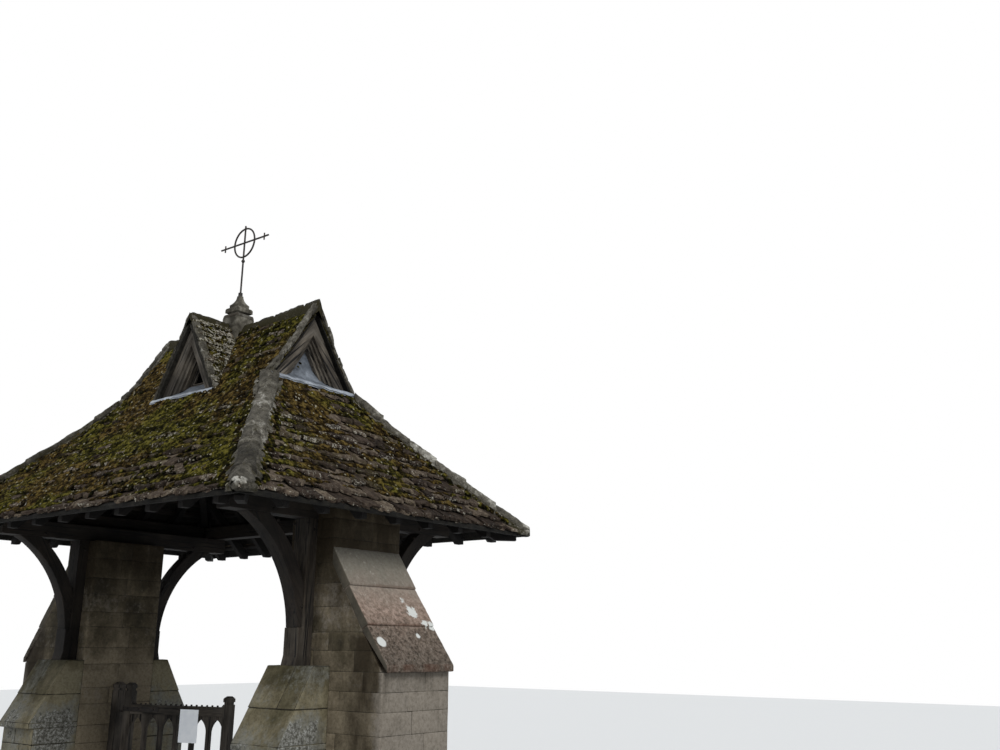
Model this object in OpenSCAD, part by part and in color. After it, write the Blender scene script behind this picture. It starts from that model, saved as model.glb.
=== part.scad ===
// Lychgate: a swept stone-slate roof with four gablets on two battered stone piers
// Origin on the ground in the middle of the plan, X across the passage, Y along it, Z up

/* [Passage and piers] */
// Clear width of the passage between the piers
passage_w = 2860; // [2600:10:3200]
// Thickness of a pier across the passage, above its weathering
pier_t = 490; // [420:10:600]
// Depth of a pier along the passage
pier_d = 770; // [700:10:900]
// Height of the pier tops, where the side plates lie
pier_h = 2650; // [2560:10:2720]
// Distance from the pier top down to where the outer weathering begins
batter_below = 230; // [180:10:350]
// Height of the drip at the foot of the outer weathering
batter_foot = 1510; // [1400:10:1650]
// How far the outer weathering runs out
batter_run = 630; // [500:10:700]
// Thickness of the weathering slabs
slab_t = 80; // [60:5:110]
// How far each drip stands out past the masonry below
drip = 50; // [30:5:70]
// Joint between two weathering slabs
slab_joint = 3; // [2:1:6]

/* [Plinths] */
// Width of the plinths that carry the posts
plinth_w = 520; // [440:10:520]
// Height of the flat top of a plinth
plinth_h = 1500; // [1350:10:1600]
// Depth of that flat top, out from the pier
plinth_ledge = 175; // [165:5:230]
// How far the sloping slabs of a plinth run out
plinth_run = 310; // [240:10:360]
// Height of the drip at the foot of those slabs
plinth_foot = 940; // [850:10:1050]

/* [Oak frame] */
// Width of the posts and plates across the passage
oak_w = 160; // [120:5:200]
// Distance of the posts back from the passage face
post_inset = 140; // [100:5:160]
// Depth of a post along the passage, at its foot
post_d = 150; // [140:5:160]
// Depth cut back for the heel of the brace
heel = 45; // [30:5:60]
// Distance from the pier top down to the shoulder on which the brace stands
shoulder_below = 860; // [780:10:940]
// Radius of the hollow edge of a brace
brace_r = 1040; // [950:10:1150]
// Depth of a brace between its two curved edges
brace_d = 120; // [90:5:140]
// Thickness of a brace across the passage
brace_t = 130; // [90:5:150]
// Height of the side plates
plate_h = 150; // [120:5:180]
// Height and width of the eaves beams
beam = 140; // [120:5:150]

/* [Roof] */
// Length of the roof across the passage, over the slate edges
roof_x = 4700; // [4600:10:4800]
// Length of the roof along the passage, over the slate edges
roof_y = 3430; // [3380:10:3500]
// Height of the slates at the eaves above the pier tops
eaves_up = 20; // [10:5:70]
// Pitch of the lower part of the slopes in degrees
pitch = 45.4; // [44:0.2:47]
// How much the slates tilt up at the eaves
kick = 22; // [0:2:40]
// Width of that tilted edge
kick_w = 260; // [150:10:350]
// Extra rise that the swept upper part gains at the ridge
sweep = 275; // [200:5:360]
// Distance in from the eaves at which the sweep begins
sweep_at = 750; // [600:10:900]
// Upright thickness of slates with their battens
slate_t = 85; // [70:5:100]
// Thickness of the double slates at the edge of the eaves
eave_t = 40; // [30:5:60]
// Slate courses on a full slope
courses = 17; // [12:1:22]
// How much each course stands up at its lower edge
lap = 24; // [12:1:28]
// Thickness of the mortared caps on hips and ridges
cap_t = 45; // [30:5:60]
// Half width of those caps
cap_w = 85; // [60:5:110]

/* [Rafters] */
// Width of a rafter
rafter_w = 60; // [50:5:80]
// Upright depth of a rafter
rafter_d = 130; // [100:5:140]
// Greatest spacing of the rafters
rafter_pitch = 400; // [300:10:500]
// Width of a hip rafter
hip_w = 70; // [60:5:90]
// Distance of the rafter ends in from the slate edge
tail = 90; // [60:5:120]
// Height of the plumb cut at the foot of a rafter, above its level cut
foot_cut = 60; // [40:5:100]

/* [Gablets] */
// Distance of the side gablets in from the end eaves, to their verges
end_top = 1192; // [1150:2:1250]
// Distance of the front and back gablets in from their eaves, to their verges
front_top = 1149; // [1115:2:1175]
// Half width of the front and back gablets at their feet
gable_half = 461; // [440:1:480]
// Width of the barge boards
barge_w = 100; // [80:5:120]
// Thickness of the barge boards
barge_t = 28; // [22:1:34]
// How far the slates stand out past the barge boards
verge = 45; // [30:5:60]
// Moulded boards inside the barge boards
mouldings = 3; // [1:1:4]
// Width of each moulded board
moulding_w = 22; // [16:1:28]
// How far each moulded board steps back
moulding_back = 25; // [15:1:30]
// Depth from the barge board back to the lead panel
recess = 128; // [110:2:150]
// Thickness of the lead-covered panel
panel_t = 25; // [20:1:35]
// Thickness of dressed lead
lead_t = 6; // [4:1:8]
// Length of the lead apron down the slates
apron = 35; // [20:5:100]

/* [Finial] */
// Width of the square stone under the cross
finial_w = 215; // [180:5:240]
// Height of that stone above the ridge
finial_h = 110; // [70:5:130]
// Height of its cap: hollow neck, rounded rim and bell
finial_cap = 245; // [200:5:280]
// Width of the rim
finial_rim = 190; // [160:5:210]
// Thickness of the rim
rim_t = 55; // [40:5:70]
// Height of the iron cross above the stone
cross_h = 765; // [700:5:850]
// Length of the arm of the cross
cross_w = 730; // [600:10:760]
// Height of the arm above the stone
arm_at = 580; // [500:10:600]
// Outer diameter of the ring
ring_d = 325; // [260:5:360]
// Height of the knot in the shaft
knot_at = 380; // [300:10:400]
// Thickness of the iron bars
iron = 18; // [14:1:24]

/* [Gates] */
// Width of a gate post
gate_post = 95; // [80:5:110]
// Height of the gate posts
gate_post_h = 1290; // [1200:10:1350]
// Distance from the face of a gate post to its hinge pin
pin_off = 65; // [50:5:80]
// Gap between the pin and the hanging stile
stile_off = 20; // [16:1:30]
// Gap between the closed leaves
meeting = 12; // [10:1:20]
// Height of the gates to the top of the top rail
gate_h = 1090; // [1000:10:1150]
// Clearance of the gates above the ground
gate_clear = 80; // [50:5:120]
// Width of the stiles
stile_w = 85; // [70:5:100]
// Thickness of the stiles and rails
stile_t = 70; // [55:5:80]
// Depth of the top rail
top_rail = 85; // [70:5:100]
// Depth of the bottom rail
bottom_rail = 120; // [90:5:150]
// Thickness of the lancet boards
board_t = 32; // [25:1:40]
// Width of the bars between the lancets
bar_w = 45; // [35:1:60]
// Lancet openings in each leaf
lancets = 6; // [4:1:7]
// Angle at which the left leaf stands open
left_leaf_angle = 15; // [0:1:80]
// Angle at which the right leaf stands open
right_leaf_angle = 90; // [0:1:90]
// Diameter of the hinge pins
pin_d = 16; // [12:1:20]

/* [Hidden] */
$fn = 48;

// Levels and places that follow from the sizes above
hx = roof_x / 2;
hy = roof_y / 2;
eaves_z = pier_h + eaves_up;
batter_top = pier_h - batter_below;
shoulder_z = pier_h - shoulder_below;
slope = tan(pitch);
pier_in = passage_w / 2;
pier_out = pier_in + pier_t;
batter_out = pier_out + batter_run;
wall_out = batter_out - drip;
plinth_top_y = pier_d / 2 + plinth_ledge;
plinth_out = plinth_top_y + plinth_run;
post_x = pier_in + post_inset + oak_w / 2;
beam_z = pier_h + plate_h;
ring_in = 430;
ring_x = hx - ring_in;
ring_y = hy - ring_in;
rafter_z = eaves_z - slate_t;
foot_top = rafter_z + slope * tail;
foot_z = foot_top - foot_cut;
ridge_z = eaves_z + slope * hy + sweep;
reach = 9000;
course_power = 1.18;
split_at = 0.55;
gable_x = hx - end_top;
gable_y = hy - front_top;
side_half = hy - end_top;
// Height of the slate face at distance d in from the eaves
function slate_z(d) = eaves_z + slope * d
  + kick * pow(max(0, 1 - d / kick_w), 2)
  + sweep * pow(max(0, (d - sweep_at) / (hy - sweep_at)), 2);
// Distance in of the lower edge of course i: the courses get shorter going up
function course_at(i) = hy * (1 - pow(1 - i / courses, course_power));
// The slate face as straight pieces from course to course, moved up or down
envelope = [for (i = [0 : courses]) [course_at(i), slate_z(course_at(i))]];
function raised(up) = [for (p = envelope) p + [0, up]];
function envelope_z(d) = lookup(d, envelope);
// The same face with every course standing up by one lap at its lower edge
stepped = [for (i = [0 : courses - 1]) each [
  envelope[i], envelope[i + 1] - [0, i < courses - 1 ? lap : 0]]];
function backwards(list) = [for (i = [len(list) - 1 : -1 : 0]) list[i]];
// The underside: thin where the slates stand out past the rafters, and then along the rafters
underside = concat(
  [[0, envelope[0][1] - eave_t], [tail, rafter_z + slope * tail]],
  [for (p = raised(-slate_t)) if (p[0] > tail) p]);

// Bed of the weathering slabs: a line slab_t below their upper face
batter_angle = atan2(batter_top - batter_foot, batter_run);
batter_len = norm([batter_run, batter_top - batter_foot]);
nosing = 45;
nose_z = batter_foot - nosing;
slab_lift = 12;
function bed_z(x) = batter_top - (x - pier_out) * tan(batter_angle) - slab_t / cos(batter_angle);
function bed_x(z) = pier_out + (batter_top - slab_t / cos(batter_angle) - z) / tan(batter_angle);
// Oak details
foot_flare = 20;
brace_spring = 70;
ridge_t = 40;
seat = 0.3;
passing = 1;
ridge_d = 200;
hip_deep = 182;
// Gablets: feet, slopes and the lead sill
front_foot = envelope_z(front_top);
side_foot = envelope_z(end_top);
cross_slope = (ridge_z - front_foot) / gable_half;
cross_slope_up = sqrt(1 + cross_slope * cross_slope);
side_slope_up = sqrt(1 + pow((ridge_z - side_foot) / side_half, 2));
sill_in = verge + recess;
sill_rise = 140;
vent_w = 180;
vent_h = 189;
vent_up = 30;
// Finial
finial_root = 300;
neck_cap_h = 60;
finial_top = 44;
// Gates
hinge_x = pier_in - gate_post - pin_off;
head_cut = 34;
neck_cut = 8;
neck_down = 75;
neck_h = 22;
latch_up = 100;
lancet_head = 25;
hook_gap = 0.3;
eye_d = 34;
band_h = 40;
band_t = 5;
hinge_z = [gate_clear + (bottom_rail - band_h) / 2, gate_h - (top_rail + band_h) / 2];
band_len = 420;
pin_play = 0.16;
// Notice
notice_w = 210;
notice_h = 297;
notice_t = 2;
notice_x = 700;
notice_down = 28;
stone = "#8d8168";
slate = "#5d5a3c";
oak = "#2e2720";
lead = "#7d8894";
iron_grey = "#2b2826";
gate_oak = "#6b5d4c";

// A profile of (distance in, height) carried along the front eaves
module along_front(points) {
  translate([-reach / 2, -hy, 0])
    rotate([90, 0, 90])
      linear_extrude(reach)
        polygon(points);
}
// The same at the right end of the roof
module along_right(points) {
  translate([hx - hy, 0, 0])
    rotate([0, 0, 90])
      along_front(points);
}
module to_back() { mirror([0, 1, 0]) children(); }
module to_left() { mirror([1, 0, 0]) children(); }
module both_ways() {
  children();
  to_back() children();
}
module four_ways() {
  both_ways() children();
  to_left() both_ways() children();
}
// A flat outline pulled up through the whole height
module plan(points) {
  linear_extrude(reach)
    polygon(points);
}

// Everything below the front and back slopes, and below the two end slopes
module below_main(up = 0) {
  half = raised(up);
  other = [for (p = backwards(half)) [2 * hy - p[0], p[1]]];
  along_front(concat([[0, 0]], half, other, [[2 * hy, 0]]));
}
module below_ends(up = 0) {
  half = concat(raised(up), [[hx + 1, envelope[courses][1] + up + slope * (hx + 1 - hy)]]);
  intersection_for (s = [0, 1])
    mirror([s, 0, 0])
      along_right(concat([[0, 0]], half, [[2 * hx + reach, reach], [2 * hx + reach, 0]]));
}
// Triangle of a front gablet, its sides dropped straight down by drop
function cross_tri(drop, base) = [
  [-(ridge_z - drop - base) / cross_slope, base],
  [(ridge_z - drop - base) / cross_slope, base],
  [0, ridge_z - drop]];
// The cross roof carried from the middle out to its verges
module cross_solid(drop = 0, base = 0, out = gable_y) {
  translate([0, out, 0])
    rotate([90, 0, 0])
      linear_extrude(2 * out)
        polygon(cross_tri(drop, base));
}
// Plan of the front slope out to the hips, and to the side gablets above them
module front_slope_plan() {
  plan([
    [-hx - reach, -hy - reach], [hx + reach, -hy - reach],
    [gable_x, -side_half], [gable_x, 0], [-gable_x, 0], [-gable_x, -side_half]]);
}
module right_slope_plan() {
  plan([
    [hx + reach, -hy - reach], [hx + reach, hy + reach],
    [gable_x, side_half], [gable_x, -side_half]]);
}

// Masonry of a pier: outline seen along the passage, with the bed of its slabs
module right_pier() {
  color(stone)
    rotate([90, 0, 0])
      linear_extrude(pier_d, center = true)
        polygon([
          [pier_in, 0], [wall_out, 0], [wall_out, nose_z],
          [bed_x(nose_z), nose_z], [pier_out, bed_z(pier_out)], [pier_out, beam_z],
          [post_x + oak_w / 2, beam_z], [post_x + oak_w / 2, pier_h], [pier_in, pier_h]]);
}
module left_pier() { to_left() right_pier(); }

// Three overlapping slabs on the outer slope of a pier
module right_weathering() {
  color("#84796c")
    rotate([90, 0, 0])
      linear_extrude(pier_d, center = true)
        intersection() {
          translate([pier_out, batter_top])
            rotate(-batter_angle)
              for (i = [0 : 2])
                weathering_slab(batter_len * i / 3, batter_len / 3 - (i < 2 ? slab_joint : -slab_t));
          translate([pier_out, nose_z])
            square([batter_run, batter_top + slab_t - nose_z]);
        }
}
module weathering_slab(at, long) {
  polygon([
    [at - (at == 0 ? slab_t * 2 : 0), -slab_t], [at + long, -slab_t],
    [at + long, 0], [at - (at == 0 ? slab_t * 2 : 0), at == 0 ? 0 : -slab_lift]]);
}
module left_weathering() { to_left() right_weathering(); }

// Plinth with a flat top and two sloping slabs that end in a drip
module right_front_plinth() {
  split = plinth_h - (plinth_h - plinth_foot) * split_at;
  split_y = plinth_top_y + plinth_run * split_at;
  color("#a0937a")
    translate([pier_in, 0, 0])
      rotate([90, 0, 90])
        linear_extrude(plinth_w)
          polygon([
            [-pier_d / 2, 0], [drip - plinth_out, 0], [drip - plinth_out, plinth_foot - nosing],
            [-plinth_out, plinth_foot - nosing], [-plinth_out, plinth_foot],
            [-split_y + slab_lift, split], [-split_y, split],
            [-plinth_top_y, plinth_h], [-pier_d / 2, plinth_h]]);
}
module right_back_plinth() { to_back() right_front_plinth(); }
module left_front_plinth() { to_left() right_front_plinth(); }
module left_back_plinth() { to_left() right_back_plinth(); }

// Oak post against the pier, cut back above the heel of its brace
module right_front_post() {
  out = pier_d / 2 + post_d;
  color(oak)
    translate([post_x - oak_w / 2, 0, 0])
      rotate([90, 0, 90])
        linear_extrude(oak_w)
          polygon([
            [-pier_d / 2, plinth_h], [-out - foot_flare, plinth_h], [-out, plinth_h + 4 * foot_flare],
            [-out, shoulder_z], [heel - out, shoulder_z], [heel - out, pier_h], [-pier_d / 2, pier_h]]);
}
module right_back_post() { to_back() right_front_post(); }
module left_front_post() { to_left() right_front_post(); }
module left_back_post() { to_left() right_back_post(); }

// Curved brace: a ring of oak that springs upright from the post and ends under the plate
module right_front_brace() {
  out = pier_d / 2 + post_d;
  color(oak)
    translate([post_x - brace_t / 2, 0, 0])
      rotate([90, 0, 90])
        linear_extrude(brace_t)
          intersection() {
            translate([-out - brace_r, shoulder_z - brace_spring])
              difference() {
                circle(r = brace_r + brace_d, $fn = 120);
                circle(r = brace_r, $fn = 120);
              }
            translate([-out - brace_r, shoulder_z])
              square([brace_r + heel, pier_h - shoulder_z]);
          }
}
module right_back_brace() { to_back() right_front_brace(); }
module left_front_brace() { to_left() right_front_brace(); }
module left_back_brace() { to_left() right_back_brace(); }

// Side plate over the piers and braces
module right_plate() {
  color(oak)
    translate([post_x - oak_w / 2, -ring_y, pier_h])
      cube([oak_w, 2 * ring_y, plate_h]);
}
module left_plate() { to_left() right_plate(); }

// Beams of the eaves ring: the long ones lie on the plates, the side ones on the piers
module front_beam() {
  color(oak)
    translate([-ring_x, -ring_y, beam_z])
      cube([2 * ring_x, beam, beam]);
}
module back_beam() { to_back() front_beam(); }
module side_beams() {
  color(oak)
    for (s = [0, 1])
      mirror([s, 0, 0])
        translate([ring_x - beam, beam - ring_y, beam_z])
          cube([beam, 2 * (ring_y - beam), beam]);
}
module ring() {
  front_beam();
  back_beam();
  side_beams();
}

// Ridge board between the tops of the hip rafters
module ridge_board() {
  color(oak)
    translate([hy - hx, -ridge_t / 2, rafter_z + slope * (hy - ridge_t / 2) - ridge_d])
      cube([2 * (hx - hy), ridge_t, ridge_d]);
}

// Hip rafter on the diagonal, its top lowered so that its arrises meet the slates
module hip_rafter() {
  long = (hy - tail) * sqrt(2);
  top = foot_top - slope * hip_w / 2 / sqrt(2);
  level = (foot_z - top + hip_deep) * sqrt(2) / slope;
  difference() {
    intersection() {
      translate([hx - tail, tail - hy, 0])
        rotate([90, 0, 135])
          translate([0, 0, -hip_w / 2])
            linear_extrude(hip_w)
              polygon([
                [0, foot_z], [level, foot_z],
                [long + hip_w, top - hip_deep + slope * (hy - tail + hip_w / sqrt(2))],
                [long + hip_w, top + slope * (hy - tail + hip_w / sqrt(2))], [0, top]]);
      translate([0, -reach, 0])
        cube([reach, reach, reach]);
    }
    ring();
    ridge_board();
  }
}
module hip_rafters() {
  color(oak)
    four_ways()
      hip_rafter();
}

// Common and jack rafters, notched over the beams and cut against hips and ridge
function rafter_profile() = [
  [tail, foot_top - seat], [hy, rafter_z - seat + slope * hy],
  [hy, rafter_z + slope * hy - rafter_d],
  [tail + (rafter_d - foot_cut) / slope, foot_z], [tail, foot_z]];
module rafter_row(half_len) {
  n = floor((half_len - tail - rafter_w) / rafter_pitch);
  for (i = [-n : n])
    translate([i * rafter_pitch, 0, 0])
      intersection() {
        along_front(rafter_profile());
        translate([-rafter_w / 2, -reach, 0])
          cube([rafter_w, reach * 2, reach]);
      }
}
module rafters() {
  color(oak)
    difference() {
      union() {
        both_ways()
          intersection() {
            rafter_row(hx);
            plan([[-hx - reach, -hy - reach], [hx + reach, -hy - reach], [hx - hy, 0], [hy - hx, 0]]);
          }
        for (s = [0, 1])
          mirror([s, 0, 0])
            translate([hx - hy, 0, 0])
              rotate([0, 0, 90])
                intersection() {
                  rafter_row(hy);
                  plan([[-hy - reach, -hy - reach], [hy + reach, -hy - reach], [0, 0]]);
                }
      }
      ring();
      translate([hy - hx, -ridge_t / 2, 0])
        cube([2 * (hx - hy), ridge_t, reach]);
      four_ways() hip_room();
    }
}
// Room for a hip rafter between the jack rafters
module hip_room() {
  room = (hip_w / 2 + seat) * sqrt(2);
  plan([
    [hx + room, -hy], [hx, -hy - room],
    [hx - hy - room, 0], [hx - hy, room]]);
}

// Slate slopes, each a shell with stepped courses
module front_slope() {
  color(slate)
    difference() {
      intersection() {
        along_front(concat(stepped, backwards(underside)));
        front_slope_plan();
      }
      cross_solid();
    }
}
module back_slope() { to_back() front_slope(); }
module right_slope() {
  color(slate)
    intersection() {
      along_right(concat(stepped, backwards(underside)));
      right_slope_plan();
    }
}
module left_slope() { to_left() right_slope(); }

// Slates of the cross roof over the front and back gablets, down to its valleys
module cross_slates() {
  color(slate)
    both_ways()
    difference() {
      intersection() {
        cross_solid();
        translate([-reach / 2, -gable_y, 0])
          cube([reach, gable_y, reach]);
      }
      cross_solid(drop = slate_t, out = reach);
      below_main();
    }
}

// Mortared caps: the roof raised by their thickness inside narrow bands, less the roof
module roof_body(up = 0) {
  intersection() {
    below_main(up);
    below_ends(up);
  }
}
module hip_band(half) {
  w = half * sqrt(2);
  intersection() {
    plan([[hx + w, -hy], [hx, -hy - w], [hx - hy, 0], [hx - hy + w, 0]]);
    translate([gable_x, -hy, 0])
      cube([hx - gable_x, hy, reach]);
  }
}
module hip_caps() {
  color("#77756b")
    four_ways()
      difference() {
        union() {
          intersection() {
            hip_band(cap_w);
            roof_body(cap_t * 0.6);
          }
          intersection() {
            hip_band(cap_w * 0.6);
            roof_body(cap_t);
          }
        }
        roof_body();
      }
}
module ridge_caps() {
  color("#77756b")
    difference() {
      union() {
        intersection() {
          translate([-gable_x, -cap_w, 0])
            cube([2 * gable_x, 2 * cap_w, reach]);
          below_main(cap_t);
        }
        intersection() {
          translate([-cap_w, -gable_y, 0])
            cube([2 * cap_w, 2 * gable_y, reach]);
          cross_solid(drop = -cap_t);
        }
      }
      below_main();
      cross_solid();
      finial_block();
    }
}

// Stone on the crossing of the ridges, under a cap with a rounded rim
module finial_block() {
  translate([-finial_w / 2, -finial_w / 2, ridge_z - finial_root])
    cube([finial_w, finial_w, finial_root + finial_h]);
}
// Half outline of the cap: a hollow neck, the rim and a bell with hollow sides
module cap_outline() {
  rim = finial_rim / 2;
  rim_z = neck_cap_h + rim_t;
  bell_r = finial_cap - rim_z;
  difference() {
    square([rim, neck_cap_h + rim_t / 2]);
    translate([rim, neck_cap_h / 2])
      circle(d = neck_cap_h);
  }
  translate([0, neck_cap_h])
    square([rim - rim_t / 2, rim_t]);
  translate([rim - rim_t / 2, neck_cap_h + rim_t / 2])
    circle(d = rim_t);
  difference() {
    translate([0, rim_z - passing])
      square([rim - rim_t / 2, bell_r + passing]);
    translate([finial_top / 2 + bell_r, finial_cap])
      circle(r = bell_r);
  }
}
module finial_stone() {
  color(stone) {
    difference() {
      finial_block();
      below_main();
      cross_solid();
    }
    intersection_for (turn = [0, 90])
      rotate([90, 0, turn])
        linear_extrude(finial_w, center = true)
          translate([0, ridge_z + finial_h])
            for (s = [0, 1])
              mirror([s, 0])
                cap_outline();
  }
}

// Wrought iron cross on the stone
module iron_cross() {
  z0 = ridge_z + finial_h + finial_cap;
  color(iron_grey)
    union() {
      translate([0, 0, z0])
        cylinder(d = iron, h = cross_h);
      translate([0, 0, z0])
        cylinder(d = iron * 2.4, h = iron * 2);
      translate([0, 0, z0 + knot_at])
        sphere(d = iron * 2);
      translate([-cross_w / 2, 0, z0 + arm_at])
        rotate([0, 90, 0])
          cylinder(d = iron, h = cross_w);
      translate([0, 0, z0 + arm_at])
        rotate([90, 0, 0])
          rotate_extrude()
            translate([ring_d / 2 - iron / 2, 0])
              circle(d = iron);
      for (s = [-1, 1])
        translate([s * (cross_w / 2 - iron * 3.5), 0, z0 + arm_at - iron * 2])
          cylinder(d = iron * 0.8, h = iron * 4);
    }
}

// Gablets: everything inside stands above the sheet of lead on the sill
// Outline under the main slopes at a side gablet, dropped by drop
function side_tri(drop) = let (rise = [for (p = envelope) if (p[0] > end_top) p])
  concat(
    [[-side_half, envelope_z(end_top) - drop]],
    [for (p = rise) [p[0] - hy, p[1] - drop]],
    [for (p = backwards(rise)) if (p[0] < hy) [hy - p[0], p[1] - drop]],
    [[side_half, envelope_z(end_top) - drop]]);
module side_shape(drop) { polygon(concat(side_tri(drop), [[side_half, 0], [-side_half, 0]])); }
module front_shape(drop) { polygon(cross_tri(drop, 0)); }
// One gablet in outline: side = true under the main slopes, false under the cross roof
module gable_shape(side, drop) {
  if (side) side_shape(drop);
  else front_shape(drop);
}
// A board in the shape of an inverted V between two drops
module gable_board(side, outer, inner, at, thick) {
  translate([0, -at, 0])
    rotate([90, 0, 0])
      linear_extrude(thick)
        difference() {
          gable_shape(side, outer);
          gable_shape(side, inner);
        }
}
// Boards and panel of a gablet whose verge is at distance out from the middle
module gablet(side, out, foot, upright) {
  face = out - verge;
  back = face - recess;
  fall = slate_t + upright * barge_w;
  step = upright * moulding_w;
  difference() {
    union() {
      gable_board(side, slate_t + seat, fall, face - barge_t, barge_t);
      for (i = [1 : mouldings])
        gable_board(side, fall + (i - 1.5) * step, fall + i * step, back, recess - i * moulding_back);
      translate([0, -back + panel_t, 0])
        rotate([90, 0, 0])
          linear_extrude(panel_t)
            difference() {
              gable_shape(side, slate_t + seat);
              if (!side) vent(foot);
            }
    }
    sill_room(out, foot, lead_t, reach);
  }
}
// Small triangular opening low in the front and back panels
module vent(foot) {
  translate([0, foot + sill_rise + vent_up])
    polygon([[-vent_w / 2, 0], [vent_w / 2, 0], [0, vent_h]]);
}
// Everything below the lead on the sill, raised by up
module sill_room(out, foot, up, wide) {
  translate([-wide / 2, 0, 0])
    rotate([90, 0, 90])
      linear_extrude(wide)
        polygon([
          [-out - apron, 0], [-out - apron, foot - apron * slope + up], [-out, foot + up],
          [-out + sill_in, foot + sill_rise + up], [0, foot + sill_rise + up], [0, 0]]);
}
// Sheet of lead over the sill and down onto the slates
module lead_sheet(side, out, foot, half) {
  difference() {
    intersection() {
      sill_room(out, foot, lead_t, 2 * half);
      union() {
        translate([-reach / 2, -out - apron, 0])
          cube([reach, apron, reach]);
        translate([0, -(out - sill_in), 0])
          rotate([90, 0, 0])
            linear_extrude(sill_in)
              gable_shape(side, slate_t);
      }
      translate([-reach / 2, -out - apron, 0])
        cube([reach, apron + sill_in, reach]);
    }
    sill_room(out, foot, 0, reach);
    if (side) rotate([0, 0, -90]) four_ways() hip_band(cap_w);
  }
}
module front_gablet() {
  color(oak)
    gablet(false, gable_y, front_foot, cross_slope_up);
}
module back_gablet() { to_back() front_gablet(); }
module right_gablet() {
  color(oak)
    rotate([0, 0, 90])
      gablet(true, gable_x, side_foot, side_slope_up);
}
module left_gablet() { to_left() right_gablet(); }
module lead_aprons() {
  color(lead) {
    both_ways()
      lead_sheet(false, gable_y, front_foot, gable_half);
    for (turn = [90, -90])
      rotate([0, 0, turn])
        lead_sheet(true, gable_x, side_foot, side_half);
  }
}

// Gate posts with necked and chamfered heads
module gate_posts() {
  color(gate_oak)
    for (s = [-1, 1])
      translate([s * (pier_in - gate_post / 2), 0, 0])
        necked_head(gate_post, gate_post, gate_post_h);
}
// Square timber whose head has a groove and a low pyramid
module necked_head(w, d, h) {
  difference() {
    translate([-w / 2, -d / 2, 0])
      cube([w, d, h]);
    for (turn = [0, 90])
      rotate([0, 0, turn])
        for (s = [-1, 1])
          translate([s * max(w, d) / 2, 0, h])
            rotate([0, s * 45, 0])
              cube([head_cut, reach, head_cut], center = true);
    for (turn = [0, 180])
      rotate([0, 0, turn])
        translate([w / 2 - neck_cut, -d, h - neck_down])
          cube([w, 2 * d, neck_h]);
    for (turn = [0, 180])
      rotate([0, 0, turn])
        translate([-w, d / 2 - neck_cut, h - neck_down])
          cube([2 * w, d, neck_h]);
  }
}

// Leaf in its own frame: the hinge pin stands at the origin and the leaf runs along X
module leaf() {
  leaf_end = hinge_x - meeting / 2;
  inner = leaf_end - stile_off - 2 * stile_w;
  pitch_x = (inner + bar_w) / lancets;
  rail_z = gate_h - top_rail;
  translate([stile_off + stile_w / 2, 0, gate_clear])
    necked_head(stile_w, stile_t, gate_post_h - gate_clear);
  translate([leaf_end - stile_w / 2, 0, gate_clear])
    necked_head(stile_w, stile_t, gate_h + latch_up - gate_clear);
  translate([stile_off + stile_w, -stile_t / 2, rail_z])
    cube([inner, stile_t, top_rail]);
  translate([stile_off + stile_w, -stile_t / 2, gate_clear])
    cube([inner, stile_t, bottom_rail]);
  translate([stile_off + stile_w, board_t / 2, 0])
    rotate([90, 0, 0])
      linear_extrude(board_t)
        difference() {
          translate([0, gate_clear + bottom_rail])
            square([inner, rail_z - gate_clear - bottom_rail]);
          for (i = [0 : lancets - 1])
            translate([i * pitch_x, gate_clear + bottom_rail])
              lancet(pitch_x - bar_w, rail_z - gate_clear - bottom_rail - lancet_head);
        }
}
// Pointed opening: a rectangle under two arcs whose radius is its own width
module lancet(w, h) {
  spring = h - w * sqrt(3) / 2;
  translate([0, -passing])
    square([w, spring + passing]);
  translate([0, spring])
    intersection() {
      circle(r = w);
      translate([w, 0])
        circle(r = w);
      square([w, w]);
    }
}
module hang_left(at) {
  translate([-hinge_x, 0, 0])
    rotate([0, 0, at])
      children();
}
module hang_right(at) {
  mirror([1, 0, 0])
    hang_left(at)
      children();
}
module left_gate() {
  color(gate_oak)
    hang_left(left_leaf_angle)
      leaf();
}
module right_gate() {
  color(gate_oak)
    hang_right(right_leaf_angle)
      leaf();
}

// Hook fixed in a gate post: a short bar with an upright pin
module hook(z) {
  translate([-hinge_x, 0, z - pin_d])
    cylinder(d = pin_d, h = band_h + 1.5 * pin_d);
  translate([-pier_in + gate_post, 0, z - pin_d / 2])
    rotate([0, 90, 0])
      cylinder(d = pin_d - passing, h = pin_off);
}
module hinge_hooks() {
  color(iron_grey)
    for (s = [0, 1])
      mirror([s, 0, 0])
        for (z = hinge_z)
          hook(z);
}
// Band that clasps the stile and the rails, with an eye round the pin
module band(z) {
  translate([0, 0, z + hook_gap])
    linear_extrude(band_h)
      difference() {
        union() {
          circle(d = eye_d);
          polygon([
            [0, -eye_d / 2], [stile_off, -stile_t / 2 - band_t],
            [stile_off, stile_t / 2 + band_t], [0, eye_d / 2]]);
          for (s = [-1, 1])
            translate([stile_off - passing, s * (stile_t + band_t) / 2 - band_t / 2])
              square([band_len, band_t]);
        }
        circle(d = pin_d + pin_play);
      }
}
module left_hinge_bands() {
  color(iron_grey)
    hang_left(left_leaf_angle)
      for (z = hinge_z)
        band(z);
}
module right_hinge_bands() {
  color(iron_grey)
    hang_right(right_leaf_angle)
      for (z = hinge_z)
        band(z);
}

// Blank sheet of board on the street side of the left leaf
module notice_sheet() {
  color("#eceae4")
    hang_left(left_leaf_angle)
      translate([notice_x, -stile_t / 2 - notice_t, gate_h - notice_down - notice_h])
        cube([notice_w, notice_t, notice_h]);
}

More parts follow.
